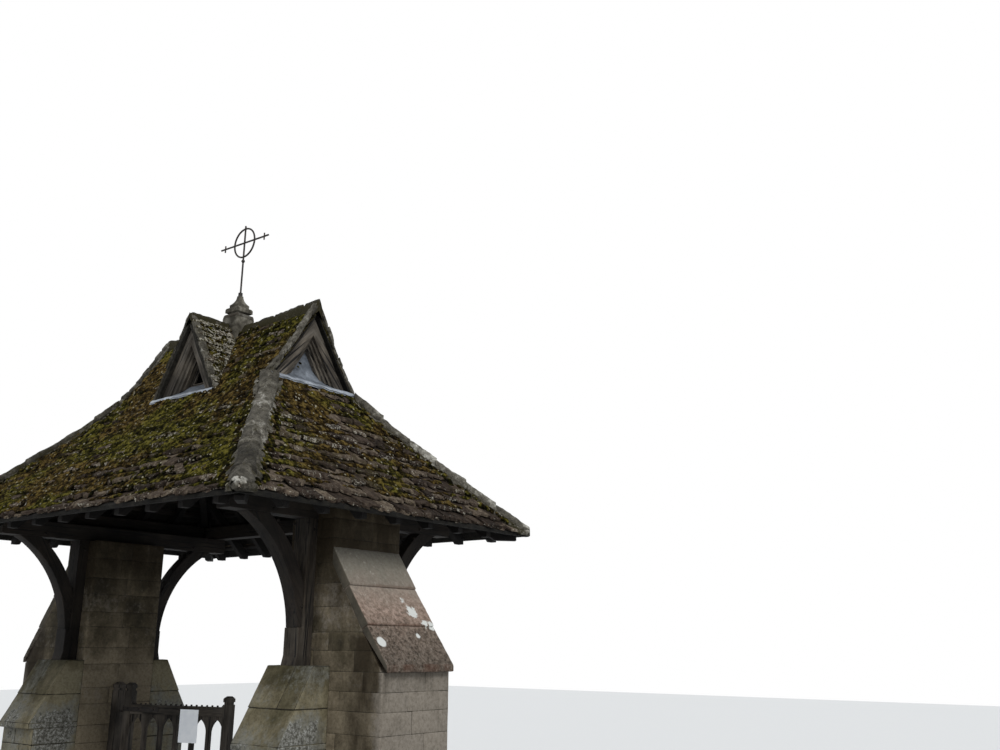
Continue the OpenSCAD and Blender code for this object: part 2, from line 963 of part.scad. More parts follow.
left_pier();
right_pier();
left_weathering();
right_weathering();
left_front_plinth();
left_back_plinth();
right_front_plinth();
right_back_plinth();
left_front_post();
left_back_post();
right_front_post();
right_back_post();
left_front_brace();
left_back_brace();
right_front_brace();
right_back_brace();
left_plate();
right_plate();
front_beam();
back_beam();
side_beams();
hip_rafters();
rafters();
ridge_board();
front_slope();
back_slope();
left_slope();
right_slope();
cross_slates();
hip_caps();
ridge_caps();
front_gablet();
back_gablet();
left_gablet();
right_gablet();
lead_aprons();
finial_stone();
iron_cross();
gate_posts();
left_gate();
right_gate();
hinge_hooks();
left_hinge_bands();
right_hinge_bands();
notice_sheet();
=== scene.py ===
import math
import bmesh
import bpy
import numpy as np
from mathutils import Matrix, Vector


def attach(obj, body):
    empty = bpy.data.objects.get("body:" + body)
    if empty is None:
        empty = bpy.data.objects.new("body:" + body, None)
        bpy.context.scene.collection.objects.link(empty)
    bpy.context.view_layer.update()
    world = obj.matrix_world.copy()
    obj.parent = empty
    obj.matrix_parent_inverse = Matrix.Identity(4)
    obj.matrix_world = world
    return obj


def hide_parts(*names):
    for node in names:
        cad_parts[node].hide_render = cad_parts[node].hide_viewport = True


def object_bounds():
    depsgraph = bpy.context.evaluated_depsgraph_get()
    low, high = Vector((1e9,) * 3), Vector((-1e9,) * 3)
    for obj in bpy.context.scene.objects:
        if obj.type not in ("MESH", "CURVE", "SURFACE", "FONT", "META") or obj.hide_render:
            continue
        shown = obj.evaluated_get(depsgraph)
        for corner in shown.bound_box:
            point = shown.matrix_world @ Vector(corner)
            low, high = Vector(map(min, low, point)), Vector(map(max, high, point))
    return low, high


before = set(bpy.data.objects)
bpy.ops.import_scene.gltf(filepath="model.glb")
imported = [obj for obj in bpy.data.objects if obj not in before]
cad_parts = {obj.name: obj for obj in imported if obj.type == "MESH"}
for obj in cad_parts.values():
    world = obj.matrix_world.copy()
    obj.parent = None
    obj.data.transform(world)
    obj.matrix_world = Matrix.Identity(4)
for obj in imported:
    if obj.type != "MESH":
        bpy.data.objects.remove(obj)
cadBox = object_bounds()
print("frame loaded")

# Sizes of the gateway in metres, the same as the solids
gateway = {
    "pierIn": 1.43, "pierOut": 1.92, "pierHalf": 0.385, "pierHigh": 2.65, "beamHigh": 2.80,
    "plateOut": 1.73, "batterTop": 2.42, "batterFoot": 1.51, "batterRun": 0.63, "slabThick": 0.08,
    "drip": 0.05, "nosing": 0.045, "plinthWide": 0.52, "plinthHigh": 1.50, "plinthLedge": 0.175,
    "plinthRun": 0.31, "plinthFoot": 0.94,
}
pierIn, pierOut, pierHalf, pierHigh = (gateway[key] for key in ("pierIn", "pierOut", "pierHalf", "pierHigh"))
# Sizes of the roof in metres
roof = {
    "halfX": 2.35, "halfY": 1.715, "eaves": 2.670, "pitch": 45.4, "kick": 0.022, "kickWide": 0.26,
    "sweep": 0.275, "sweepAt": 0.75, "courses": 17, "power": 1.18, "lap": 0.024, "thick": 0.085,
    "eaveThick": 0.04, "endTop": 1.192, "frontTop": 1.149, "gableHalf": 0.461,
}
roofX, roofY, gableHalf = roof["halfX"], roof["halfY"], roof["gableHalf"]
endTop, frontTop = roof["endTop"], roof["frontTop"]
gableX, gableY = roofX - endTop, roofY - frontTop
# Sizes of the gablets' insides in metres
gablet = {
    "verge": 0.045, "recess": 0.128, "barge": 0.100, "moulding": 0.022, "mouldings": 3, "sillRise": 0.140,
    "apron": 0.035,
}
# Sizes of the gates in metres, angles in degrees
gates = {
    "hinge": 1.27, "leftAngle": 15, "rightAngle": 90, "stileOff": 0.02, "stile": 0.085, "leafEnd": 1.264,
    "high": 1.09, "half": 0.035, "bands": (0.12, 1.0275), "bandHigh": 0.04, "bandThick": 0.005,
    "barFoot": 0.20, "barTop": 1.005,
}
railStart, railEnd = gates["stileOff"] + gates["stile"], gates["leafEnd"] - gates["stile"]
sides, mains = ("front", "right", "back", "left"), ("front", "back")
turns = {"front": (1, 0), "right": (0, 1), "back": (-1, 0), "left": (0, -1)}
cornerSigns = ((1, -1), (1, 1), (-1, 1), (-1, -1))


# numbers and noise

def linear(code):  # sRGB hex to linear RGBA by the standard two-part curve
    c = np.array([int(code[i:i + 2], 16) for i in (1, 3, 5)]) / 255
    c = np.where(c <= 0.04045, c / 12.92, ((c + 0.055) / 1.055) ** 2.4)
    return (float(c[0]), float(c[1]), float(c[2]), 1.0)


def hashed(ix, iy, iz, seed):  # whole numbers stirred into an even spread from 0 to 1
    h = (ix * 374761393 + iy * 668265263 + iz * 1440662683 + seed * 1274126177) & 0xFFFFFFFF
    h = ((h ^ (h >> 13)) * 1274126177) & 0xFFFFFFFF
    return ((h ^ (h >> 16)) & 0xFFFFFF) / 0xFFFFFF


def shares(f):  # the eight corners of a cell, each with its share in a place f of the cell
    for corner in np.ndindex(2, 2, 2):
        x, y, z = (f[..., k] if corner[k] else 1 - f[..., k] for k in range(3))
        yield corner, x * y * z


def lumps(p, size, seed=0):  # value noise from -1 to 1: the corners of a cell blended by 3t2 - 2t3
    q = p / size + 500
    i = np.floor(q).astype(np.int64)
    f = q - i
    total = 0
    for corner, share in shares(f * f * (3 - 2 * f)):
        total = total + share * hashed(*np.moveaxis(i + corner, -1, 0), seed)
    return 2 * total - 1


def domes(u, v, size, seed):  # rounded cells: 1 at the nearest scattered point, falling like a ball to 0
    a, b = u / size + 300, v / size + 300
    i, j = np.floor(a).astype(np.int64), np.floor(b).astype(np.int64)
    best = np.full(np.shape(a), 9.0)
    for di in (-1, 0, 1):
        for dj in (-1, 0, 1):
            x = i + di + hashed(i + di, j + dj, 0, seed)
            y = j + dj + hashed(i + di, j + dj, 1, seed)
            best = np.minimum(best, (x - a) ** 2 + (y - b) ** 2)
    return np.sqrt(np.maximum(0, 1 - best / 0.75))


def eased(x, low, high):  # 0 below low, 1 above high and 3t2 - 2t3 between
    t = np.clip((x - low) / (high - low), 0, 1)
    return t * t * (3 - 2 * t)


def runOf(points):  # length along a line up to each of its points
    return np.concatenate([[0], np.cumsum(np.linalg.norm(np.diff(points, axis=0), axis=1))])


# meshes

def addMesh(name, points, faces, material, body="gateway", tones=None, grain=None, smooth=True):
    # faces is one array of corners, or several arrays whose faces have different numbers of corners
    groups = faces if isinstance(faces, list) else [faces]
    corners = np.concatenate([g.ravel() for g in groups]).astype(np.int32)
    counts = np.concatenate([np.full(len(g), g.shape[1]) for g in groups])
    points = np.clip(np.reshape(points, (-1, 3)), cadBox[0], cadBox[1])  # kept inside the solids' box
    mesh = bpy.data.meshes.new(name)
    mesh.vertices.add(len(points))
    mesh.vertices.foreach_set("co", np.asarray(points, np.float32).ravel())
    mesh.loops.add(len(corners))
    mesh.loops.foreach_set("vertex_index", corners)
    mesh.polygons.add(len(counts))
    mesh.polygons.foreach_set("loop_start", np.concatenate([[0], np.cumsum(counts)[:-1]]).astype(np.int32))
    mesh.update(calc_edges=True)
    mesh.validate()
    mesh.polygons.foreach_set("use_smooth", np.full(len(mesh.polygons), smooth))
    layers = (("tone", "FLOAT_COLOR", "color", tones), ("grain", "FLOAT_VECTOR", "vector", grain))
    for label, kind, field, values in layers:
        if values is not None:
            values = np.asarray(values, np.float32).ravel()
            mesh.attributes.new(label, kind, "POINT").data.foreach_set(field, values)
    piece = bpy.data.objects.new(name, mesh)
    bpy.context.collection.objects.link(piece)
    mesh.materials.append(material)
    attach(piece, body)
    return piece


def sheetFaces(nu, nv):  # quads of a grid of nu by nv points
    i = (np.arange(nu - 1)[:, None] * nv + np.arange(nv - 1)[None])
    return np.stack([i, i + nv, i + nv + 1, i + 1], -1).reshape(-1, 4)


def closedSheet(top, low):  # points and faces of a shell: an upper grid, a lower one and the rims between
    nd, nu = top.shape[:2]
    m, sheet = nd * nu, sheetFaces(nd, nu)
    a, b = np.arange(nu - 1), np.arange(nd - 1) * nu
    rims = [np.stack([a, a + 1, a + 1 + m, a + m], 1),
            np.stack([a + m, a + 1 + m, a + 1, a], 1) + (nd - 1) * nu,
            np.stack([b + nu, b, b + m, b + nu + m], 1),
            np.stack([b, b + nu, b + nu + m, b + m], 1) + nu - 1]
    points = np.concatenate([top.reshape(-1, 3), low.reshape(-1, 3)])
    return points, np.concatenate([sheet[:, ::-1], sheet + m] + rims)


def ringFaces(count, sides, rings, flip=False):  # faces of many shapes, each of stacked rings and a tip
    i = np.arange(sides)
    j = (i + 1) % sides
    last, tip = (rings - 1) * sides, rings * sides
    quads = np.concatenate([np.stack([i, j, j + sides, i + sides], 1) + k * sides for k in range(rings - 1)])
    tris = np.stack([i + last, j + last, 0 * i + tip], 1)
    first = (np.arange(count) * (tip + 1))[:, None, None]
    return [(np.where(flip, f[None, :, ::-1], f[None]) + first).reshape(-1, f.shape[1])
            for f in (quads, tris)]


def boxShell(cuts):  # grid numbers of the points on a box cut into so many strips each way, and its faces
    sheets, faces, start = [], [], 0
    for axis in range(3):
        u, v = (axis + 1) % 3, (axis + 2) % 3
        q = sheetFaces(cuts[u] + 1, cuts[v] + 1)
        for side in (0, 1):
            a, b = np.meshgrid(np.arange(cuts[u] + 1), np.arange(cuts[v] + 1), indexing="ij")
            g = np.zeros((a.size, 3), int)
            g[:, u], g[:, v], g[:, axis] = a.ravel(), b.ravel(), side * cuts[axis]
            faces.append((q if side else q[:, ::-1]) + start)
            sheets.append(g)
            start += a.size
    grid, back = np.unique(np.concatenate(sheets), axis=0, return_inverse=True)
    return grid, back.ravel()[np.concatenate(faces)]


def blocks(corners, cuts, edge):
    # Boxes with rounded edges: a grid point is pulled back into the inner box, then pushed out by edge
    # along the way it was pulled, and set between the eight corners in proportion
    corners = np.asarray(corners, float)  # (n, 2, 2, 2, 3), by place along x, y and z
    grid, faces = boxShell(cuts)
    n = len(corners)
    along = [corners[:, 1].mean((1, 2)) - corners[:, 0].mean((1, 2)),
             corners[:, :, 1].mean((1, 2)) - corners[:, :, 0].mean((1, 2)),
             corners[:, :, :, 1].mean((1, 2)) - corners[:, :, :, 0].mean((1, 2))]
    length = np.stack([np.linalg.norm(a, axis=1) for a in along], 1)
    axes = np.stack([a / np.linalg.norm(a, axis=1)[:, None] for a in along], 1)
    radius = np.minimum(edge, 0.45 * length.min(1))[:, None]
    half = length / 2
    inner = half - radius
    local = np.empty((n, len(grid), 3))
    for k in range(3):
        g, m = grid[:, k], cuts[k]
        place = inner[:, k:k + 1] * (2 * (g - 1) / (m - 2) - 1)[None]
        place = np.where(g == 0, -half[:, k:k + 1], place)
        local[..., k] = np.where(g == m, half[:, k:k + 1], place)
    pulled = np.clip(local, -inner[:, None], inner[:, None])
    out = local - pulled
    out /= np.linalg.norm(out, axis=2)[..., None]
    local = pulled + radius[..., None] * out
    t = local / length[:, None] + 0.5
    points = 0
    for (a, b, c), share in shares(t):
        points = points + share[..., None] * corners[:, a, b, c][:, None]
    normals = np.einsum("nmk,nkj->nmj", out, axes)
    faces = (faces[None] + (np.arange(n) * len(grid))[:, None, None]).reshape(-1, 4)
    return points, normals, t, faces


def prism(axis, ends, low, high):
    # Corners of a block that runs along x or y (axis 0 or 1) between its ends; its lower and upper edges
    # are each (near, far), as (place across, height)
    c = np.empty((2, 2, 2, 3))
    for i, j, k in np.ndindex(2, 2, 2):
        end, far = (i, j) if axis == 0 else (j, i)
        across, z = (low, high)[k][far]
        c[i, j, k] = (ends[end], across, z) if axis == 0 else (across, ends[end], z)
    return c


def mirrored(corners, sx, sy=1):  # blocks mirrored in x or y where the sign is negative
    corners = np.array(corners)
    if sy < 0:
        corners = corners[:, :, ::-1] * np.array([1, -1, 1])
    if sx < 0:
        corners = corners[:, ::-1] * np.array([-1, 1, 1])
    return corners


def rowCuts(start, widths, end, least):  # joints along a row; no width at its end is below the least
    cuts = start + np.concatenate([[0], np.cumsum(widths)])
    return np.append(cuts[cuts < end - least], end)


def rowCorners(cuts, gap):  # corners of a row of blocks; only their places along it are set
    c = np.empty((len(cuts) - 1, 2, 2, 2, 3))
    c[:, 0, :, :, 0] = np.reshape(cuts[:-1] + gap, (-1, 1, 1))
    c[:, 1, :, :, 0] = np.reshape(cuts[1:] - gap, (-1, 1, 1))
    return c


def tonesFor(n, m, rng):  # random greys for each block, spread over its points
    tone = np.ones((n, m, 4))
    tone[..., :3] = rng.random((3, n)).T[:, None]
    return tone


def joined(parts):  # several (points, faces, tones) made into one set of arrays
    points, faces, tones = zip(*parts)
    points = [np.reshape(p, (-1, 3)) for p in points]
    start = np.cumsum([0] + [len(p) for p in points[:-1]])
    return (np.concatenate(points), np.concatenate([f + s for f, s in zip(faces, start)]),
            np.concatenate([np.reshape(t, (-1, 4)) for t in tones]))


# materials

noise, ramp, mix, bump = "ShaderNodeTexNoise", "ShaderNodeValToRGB", "ShaderNodeMix", "ShaderNodeBump"
shaderKind, outputKind, mathKind = "ShaderNodeBsdfPrincipled", "ShaderNodeOutputMaterial", "ShaderNodeMath"


def add(tree, kind, inputs=None, stops=None, **settings):
    # One node with its settings, values and links; a node given as a value stands for its first output
    n = tree.nodes.new(kind)
    for key, value in settings.items():
        setattr(n, key, value)
    for key, value in (inputs or {}).items():
        named = (s for s in n.inputs if s.enabled and s.name == key)
        socket = n.inputs[key] if isinstance(key, int) else next(named)
        if isinstance(value, bpy.types.Node):
            value = next(s for s in value.outputs if s.enabled)
        if isinstance(value, bpy.types.NodeSocket):
            tree.links.new(value, socket)
        else:
            socket.default_value = linear(value) if isinstance(value, str) else value
    if stops:
        while len(n.color_ramp.elements) < len(stops):
            n.color_ramp.elements.new(0.5)
        for e, (place, colour) in zip(n.color_ramp.elements, stops):
            e.position = place
            e.color = linear(colour) if isinstance(colour, str) else (colour, colour, colour, 1)
    return n


def emptyMaterial(name):  # a material with no nodes but Object coordinates and the mesh's own tones
    material = bpy.data.materials.new(name)
    material.use_nodes = True
    tree = material.node_tree
    tree.nodes.clear()
    place = add(tree, "ShaderNodeTexCoord").outputs["Object"]
    tone = add(tree, "ShaderNodeAttribute", attribute_name="tone").outputs["Color"]
    return material, tree, place, add(tree, "ShaderNodeSeparateColor", {"Color": tone}).outputs


def shaded(tree, tone, share, height, stops):  # the tone's share and a noise added up, and coloured by a ramp
    light = add(tree, mathKind, {0: tone, 1: share, 2: height}, operation="MULTIPLY_ADD")
    return add(tree, ramp, {"Fac": light}, stops)


def laid(tree, colour, over, height, stops):  # a second colour over the first, as far as a ramp says
    mask = add(tree, ramp, {"Fac": height}, stops)
    return add(tree, mix, {"Factor": mask, "A": colour, "B": over}, data_type="RGBA")


def darkened(tree, colour, factor, height, stops):  # the colour times a ramp of greys, by so great a factor
    shade = add(tree, ramp, {"Fac": height}, stops)
    inputs = {"Factor": factor, "A": colour, "B": shade}
    return add(tree, mix, inputs, data_type="RGBA", blend_type="MULTIPLY")


def coated(tree, colour, rough, reliefs, specular=0.5, metallic=0.0):
    # The shader and its output; each relief is (noise, metres), sunk where the metres are negative
    normal = {}
    for height, deep in reliefs:
        inputs = {"Height": height, "Distance": abs(deep), **normal}
        normal = {"Normal": add(tree, bump, inputs, invert=deep < 0)}
    inputs = {"Base Color": colour, "Roughness": rough, "Specular IOR Level": specular, "Metallic": metallic}
    add(tree, outputKind, {"Surface": add(tree, shaderKind, {**inputs, **normal})})


# Limestone roofing slates: grey-brown stone split in flakes, black algae, an olive film, pale lichen and
# painted highlights.
# tone: shade of the slate, how green it is, how pale with lichen and with painted highlight on lower edges
def slateMaterial():
    material, tree, place, tone = emptyMaterial("Split limestone slate")
    flakes = add(tree, noise, {"Vector": place, "Scale": 1000 / 50, "Detail": 8, "Roughness": 0.72})
    browns = [(0.42, "#181411"), (0.58, "#302822"), (0.74, "#4a4037"), (0.92, "#736859")]
    colour = shaded(tree, tone[0], 0.34, flakes, browns)
    film = add(tree, noise, {"Vector": place, "Scale": 1000 / 120, "Detail": 6, "Roughness": 0.7})
    film = add(tree, mathKind, {0: film, 1: tone[1]}, operation="ADD")
    green = add(tree, noise, {"Vector": place, "Scale": 1000 / 18, "Detail": 5, "Roughness": 0.7})
    olives = [(0.38, "#131108"), (0.50, "#2a260f"), (0.60, "#474118"), (0.70, "#6a6230")]
    colour = laid(tree, colour, add(tree, ramp, {"Fac": green}, olives), film, [(0.66, 0.0), (0.92, 0.95)])
    crust = add(tree, noise, {"Vector": place, "Scale": 1000 / 26, "Detail": 5, "Roughness": 0.75})
    crust = add(tree, mathKind, {0: tone[2], 1: 0.22, 2: crust}, operation="MULTIPLY_ADD")
    colour = laid(tree, colour, "#a5a093", crust, [(0.70, 0.0), (0.76, 0.9)])
    grit = add(tree, noise, {"Vector": place, "Scale": 1000 / 10, "Detail": 6, "Roughness": 0.75})
    colour = darkened(tree, colour, 0.8, grit, [(0.36, "#6a655f"), (0.55, "#ffffff")])
    coated(tree, colour, 0.9, [(grit, 0.004), (flakes, 0.012)], 0.05)
    return material


# Cushion moss: painted shade in the hollows, olive mats and a few golden tips; fine and matt.
# tone: height above the mat, which paints shade low down, brown to green, random
def mossMaterial():
    material, tree, place, tone = emptyMaterial("Cushion moss")
    clumps = add(tree, noise, {"Vector": place, "Scale": 1000 / 55, "Detail": 5, "Roughness": 0.75})
    light = add(tree, mathKind, {0: tone[0], 1: 0.24, 2: clumps}, operation="MULTIPLY_ADD")
    stops = (0.53, 0.63, 0.72, 0.83)
    green = add(tree, ramp, {"Fac": light}, list(zip(stops, ("#030301", "#131206", "#2b290b", "#686129"))))
    brown = add(tree, ramp, {"Fac": light}, list(zip(stops, ("#040201", "#151008", "#2e2410", "#66552e"))))
    kind = add(tree, noise, {"Vector": place, "Scale": 1000 / 260, "Detail": 7, "Roughness": 0.72})
    kind = add(tree, mathKind, {0: kind, 1: tone[1]}, operation="ADD")
    colour = laid(tree, brown, green, kind, [(0.72, 0.0), (0.92, 1.0)])
    dots = add(tree, "ShaderNodeTexVoronoi", {"Vector": place, "Scale": 1000 / 46})
    dots = add(tree, ramp, {"Fac": dots.outputs["Distance"]}, [(0.14, 1.0), (0.26, 0.0)])
    dry = add(tree, noise, {"Vector": place, "Scale": 1000 / 130, "Detail": 6, "Roughness": 0.75})
    dry = add(tree, ramp, {"Fac": dry}, [(0.46, 0.0), (0.54, 1.0)])
    dots = add(tree, mathKind, {0: dots, 1: dry}, operation="MULTIPLY")
    colour = add(tree, mix, {"Factor": dots, "A": colour, "B": "#9a9480"}, data_type="RGBA")
    coated(tree, colour, 0.95, [(clumps, 0.05)], 0.02)
    return material


# Lime mortar and bedding stones on hips, ridges and verges: grey, gritty, with dark pits and moss in patches.
# tone: how pale (below zero on the bedding, as painted shade), how mossy, random
def mortarMaterial():
    material, tree, place, tone = emptyMaterial("Weathered lime mortar")
    broad = add(tree, noise, {"Vector": place, "Scale": 1000 / 60, "Detail": 7, "Roughness": 0.72})
    light = add(tree, mathKind, {0: tone[0], 1: 0.60, 2: broad}, operation="MULTIPLY_ADD")
    light = add(tree, mathKind, {0: light, 1: 0.75}, operation="MULTIPLY")
    greys = [(0.20, "#050504"), (0.34, "#1a1813"), (0.50, "#35322b"), (0.68, "#5f5b51"), (0.90, "#b8b5ab")]
    mossy = add(tree, noise, {"Vector": place, "Scale": 1000 / 80, "Detail": 6, "Roughness": 0.7})
    mossy = add(tree, mathKind, {0: mossy, 1: tone[1]}, operation="ADD")
    colour = laid(tree, add(tree, ramp, {"Fac": light}, greys), "#252109", mossy, [(0.76, 0.0), (0.90, 1.0)])
    pits = add(tree, noise, {"Vector": place, "Scale": 1000 / 16, "Detail": 6, "Roughness": 0.78})
    colour = laid(tree, colour, "#12100c", pits, [(0.38, 0.8), (0.50, 0.0)])
    coated(tree, colour, 0.92, [(pits, 0.012)], 0.2)
    return material


# Sawn limestone ashlar: a shade for each block, grey runs of rain, dark algae with painted shade, grit that
# shows close up.
# tone: shade of the block with painted light low down, dark stain with painted shade, pale crust
def ashlarMaterial(name, colours, crustColour, pit, clouds=220, pebbled=0.0):
    material, tree, place, tone = emptyMaterial(name)
    cloud = add(tree, noise, {"Vector": place, "Scale": 1000 / clouds, "Detail": 7, "Roughness": 0.6})
    colour = shaded(tree, tone[0], 0.28, cloud, list(zip((0.42, 0.56, 0.70, 0.84), colours)))
    crust = add(tree, noise, {"Vector": place, "Scale": 1000 / 60, "Detail": 7, "Roughness": 0.7})
    both = add(tree, mathKind, {0: crust, 1: tone[2]}, operation="ADD")
    colour = laid(tree, colour, crustColour, both, [(0.66, 0.0), (0.95, 0.85)])
    grit = add(tree, noise, {"Vector": place, "Scale": 1000 / 26, "Detail": 7, "Roughness": 0.8})
    pebbles = add(tree, ramp, {"Fac": grit}, [(0.42, "#4b4a43"), (0.50, "#676660"), (0.60, "#92928d")])
    colour = laid(tree, colour, pebbles, both, [(0.98, 0.0), (1.10, pebbled)])
    runs = add(tree, "ShaderNodeMapping", {"Vector": place, "Scale": (1, 1, 0.35)})
    runs = add(tree, noise, {"Vector": runs, "Scale": 1000 / 140, "Detail": 6, "Roughness": 0.6})
    runs = add(tree, mathKind, {0: tone[1], 1: 0.65, 2: runs}, operation="MULTIPLY_ADD")
    colour = laid(tree, colour, "#251d10", runs, [(0.56, 0.0), (1.05, 0.9)])
    colour = darkened(tree, colour, 0.5, grit, [(0.36, "#6c675d"), (0.48, "#d6d4cf"), (0.60, "#ffffff")])
    coated(tree, colour, 0.9, [(grit, pit), (crust, pit * 1.5)], 0.2)
    return material


# Round white lichens on the right weathering: middle, radius and raggedness in metres
lichens = [((2.427, -0.323, 1.688), 0.050, 0.02), ((2.391, 0.134, 1.739), 0.028, 0.03),
           ((2.262, 0.19, 1.925), 0.058, 0.18), ((2.325, 0.28, 1.835), 0.036, 0.12),
           ((2.338, 0.35, 1.816), 0.040, 0.12), ((2.20, 0.14, 2.017), 0.018, 0.14)]


# Weathering slabs: smooth grey at the top, pinker and grainier lower down, dark at the foot, white lichens.
# tone: shade of the slab, rust along its drip, painted shade on the side faces
def slabMaterial():
    material, tree, place, tone = emptyMaterial("Limestone weathering slab")
    height = add(tree, "ShaderNodeSeparateXYZ", {"Vector": place}).outputs["Z"]
    wave = add(tree, noise, {"Vector": place, "Scale": 1000 / 160, "Detail": 6, "Roughness": 0.65})
    level = add(tree, mathKind, {0: wave, 1: 0.35, 2: height}, operation="MULTIPLY_ADD")
    down = add(tree, "ShaderNodeMapRange", {"Value": level, "From Min": 1.65, "From Max": 2.65})
    greys = [(0.05, "#695f55"), (0.28, "#786b60"), (0.42, "#988477"), (0.62, "#8d8175"), (0.80, "#837e72")]
    colour = add(tree, ramp, {"Fac": down}, greys)
    colour = darkened(tree, colour, 1.0, tone[0], [(0.0, "#dcdcdc"), (1.0, "#ffffff")])
    grit = add(tree, noise, {"Vector": place, "Scale": 1000 / 34, "Detail": 7, "Roughness": 0.85})
    rough = add(tree, ramp, {"Fac": down}, [(0.25, 1.0), (0.7, 0.30)])
    colour = darkened(tree, colour, rough, grit, [(0.40, "#5a544b"), (0.49, "#bcb8b1"), (0.58, "#ffffff")])
    crust = add(tree, noise, {"Vector": place, "Scale": 1000 / 45, "Detail": 6, "Roughness": 0.75})
    colour = laid(tree, colour, "#a09a90", crust, [(0.60, 0.0), (0.66, 0.5)])
    colour = laid(tree, colour, "#4a2e20", tone[1], [(0.3, 0.0), (1.0, 0.8)])
    edge = add(tree, noise, {"Vector": place, "Scale": 1000 / 30, "Detail": 6, "Roughness": 0.75})
    for spot, radius, ragged in lichens:
        away = add(tree, "ShaderNodeVectorMath", {0: place, 1: spot}, operation="DISTANCE").outputs["Value"]
        away = add(tree, mathKind, {0: edge, 1: ragged, 2: away}, operation="MULTIPLY_ADD")
        rim = radius + 0.5 * ragged
        patch = add(tree, "ShaderNodeMapRange", {"Value": away, "From Min": rim, "From Max": rim - 0.010})
        colour = add(tree, mix, {"Factor": patch, "A": colour, "B": "#c3c4bf"}, data_type="RGBA")
    # painted shade: dark greys for the slabs' side faces
    cheek = add(tree, ramp, {"Fac": wave}, [(0.35, "#3b372e"), (0.65, "#524c41")])
    colour = add(tree, mix, {"Factor": tone[2], "A": colour, "B": cheek}, data_type="RGBA")
    coated(tree, colour, 0.88, [(grit, 0.008)], 0.25)
    return material


# Old oak: streaks along the stick's own grain, drying cracks, silvered high spots
def oakMaterial(name, dark, mid, light, silver):
    material, tree, place, _ = emptyMaterial(name)
    grain = add(tree, "ShaderNodeAttribute", attribute_name="grain").outputs["Vector"]
    fine, broad, cracks = (add(tree, "ShaderNodeMapping", {"Vector": grain, "Scale": (pull, 1, 1)})
                           for pull in (0.05, 0.12, 0.03))
    fine = add(tree, noise, {"Vector": fine, "Scale": 1000 / 9, "Detail": 5, "Roughness": 0.65})
    broad = add(tree, noise, {"Vector": broad, "Scale": 1000 / 60, "Detail": 4})
    colour = add(tree, ramp, {"Fac": fine}, [(0.32, dark), (0.52, mid), (0.72, light)])
    colour = laid(tree, colour, silver, broad, [(0.42, 0.0), (0.66, 0.9)])
    cracks = add(tree, noise, {"Vector": cracks, "Scale": 1000 / 20, "Detail": 3, "Roughness": 0.5})
    cracks = add(tree, ramp, {"Fac": cracks}, [(0.60, 0.0), (0.63, 1.0)])
    colour = add(tree, mix, {"Factor": cracks, "A": colour, "B": "#0b0907"}, data_type="RGBA")
    stains = add(tree, noise, {"Vector": place, "Scale": 1000 / 320, "Detail": 4})
    colour = darkened(tree, colour, 1.0, stains, [(0.35, "#8c8c8c"), (0.65, "#ffffff")])
    coated(tree, colour, 0.8, [(fine, 0.002), (cracks, -0.004)], 0.25)
    return material


# Dressed sheet lead: blue-grey oxide, pale where rain runs, soft dents. tone: how pale, lowered by painted
# shade deep in the recess
def leadMaterial():
    material, tree, place, tone = emptyMaterial("Weathered sheet lead")
    cloud = add(tree, noise, {"Vector": place, "Scale": 1000 / 110, "Detail": 6, "Roughness": 0.65})
    greys = [(0.30, "#383d42"), (0.52, "#5d636a"), (0.72, "#80868e"), (0.95, "#a2a8af")]
    colour = shaded(tree, tone[0], 0.5, cloud, greys)
    darkness = add(tree, noise, {"Vector": place, "Scale": 1000 / 40, "Detail": 6, "Roughness": 0.7})
    colour = laid(tree, colour, "#34363a", darkness, [(0.56, 0.0), (0.72, 0.7)])
    dents = add(tree, noise, {"Vector": place, "Scale": 1000 / 60, "Detail": 3})
    coated(tree, colour, 0.5, [(dents, 0.006)], metallic=0.3)
    return material


# Wrought iron: black paint worn through to brown rust
def ironMaterial():
    material, tree, place, _ = emptyMaterial("Painted wrought iron")
    rust = add(tree, noise, {"Vector": place, "Scale": 1000 / 25, "Detail": 5, "Roughness": 0.6})
    colour = add(tree, ramp, {"Fac": rust}, [(0.40, "#131110"), (0.60, "#241e1a"), (0.75, "#46301f")])
    scale = add(tree, noise, {"Vector": place, "Scale": 1000 / 8, "Detail": 4, "Roughness": 0.6})
    coated(tree, colour, 0.6, [(scale, 0.001)], metallic=0.4)
    return material


# Laminated paper sheet: nearly white, faintly cockled, smooth
def paperMaterial():
    material, tree, place, _ = emptyMaterial("Laminated paper")
    cockle = add(tree, noise, {"Vector": place, "Scale": 1000 / 60, "Detail": 2})
    colour = add(tree, ramp, {"Fac": cockle}, [(0.3, "#eceff3"), (0.7, "#f7f9fb")])
    coated(tree, colour, 0.35, [(cockle, 0.002)])
    return material


slateStone = slateMaterial()
moss = mossMaterial()
mortar = mortarMaterial()
ashlar = ashlarMaterial("Weathered limestone ashlar", ("#2e2a20", "#474031", "#5f5646", "#766c5a"),
                        "#7d766d", 0.003)
plinthStone = ashlarMaterial("Tooled limestone plinth", ("#332f1e", "#4a4532", "#625b47", "#78715c"),
                             "#73736c", 0.004, 300, 0.9)
joint = ashlarMaterial("Lime mortar joint", ("#1d1b15", "#2a271f", "#39352b", "#474136"), "#403d35", 0.003)
finialStone = ashlarMaterial("Lichened finial stone", ("#3a372f", "#605c52", "#807c72", "#9c9990"),
                             "#a5a39b", 0.004, 90)
slabStone = slabMaterial()
darkOak = oakMaterial("Old dark oak", "#0f0c0a", "#1d1712", "#2f2720", "#28231d")
# painted shade: a near-black copy of the oak for the rafters and ridge board under the roof
shadedRafterOak = oakMaterial("Rafter oak with painted shade", "#060504", "#0e0b09", "#1a1612", "#15120f")
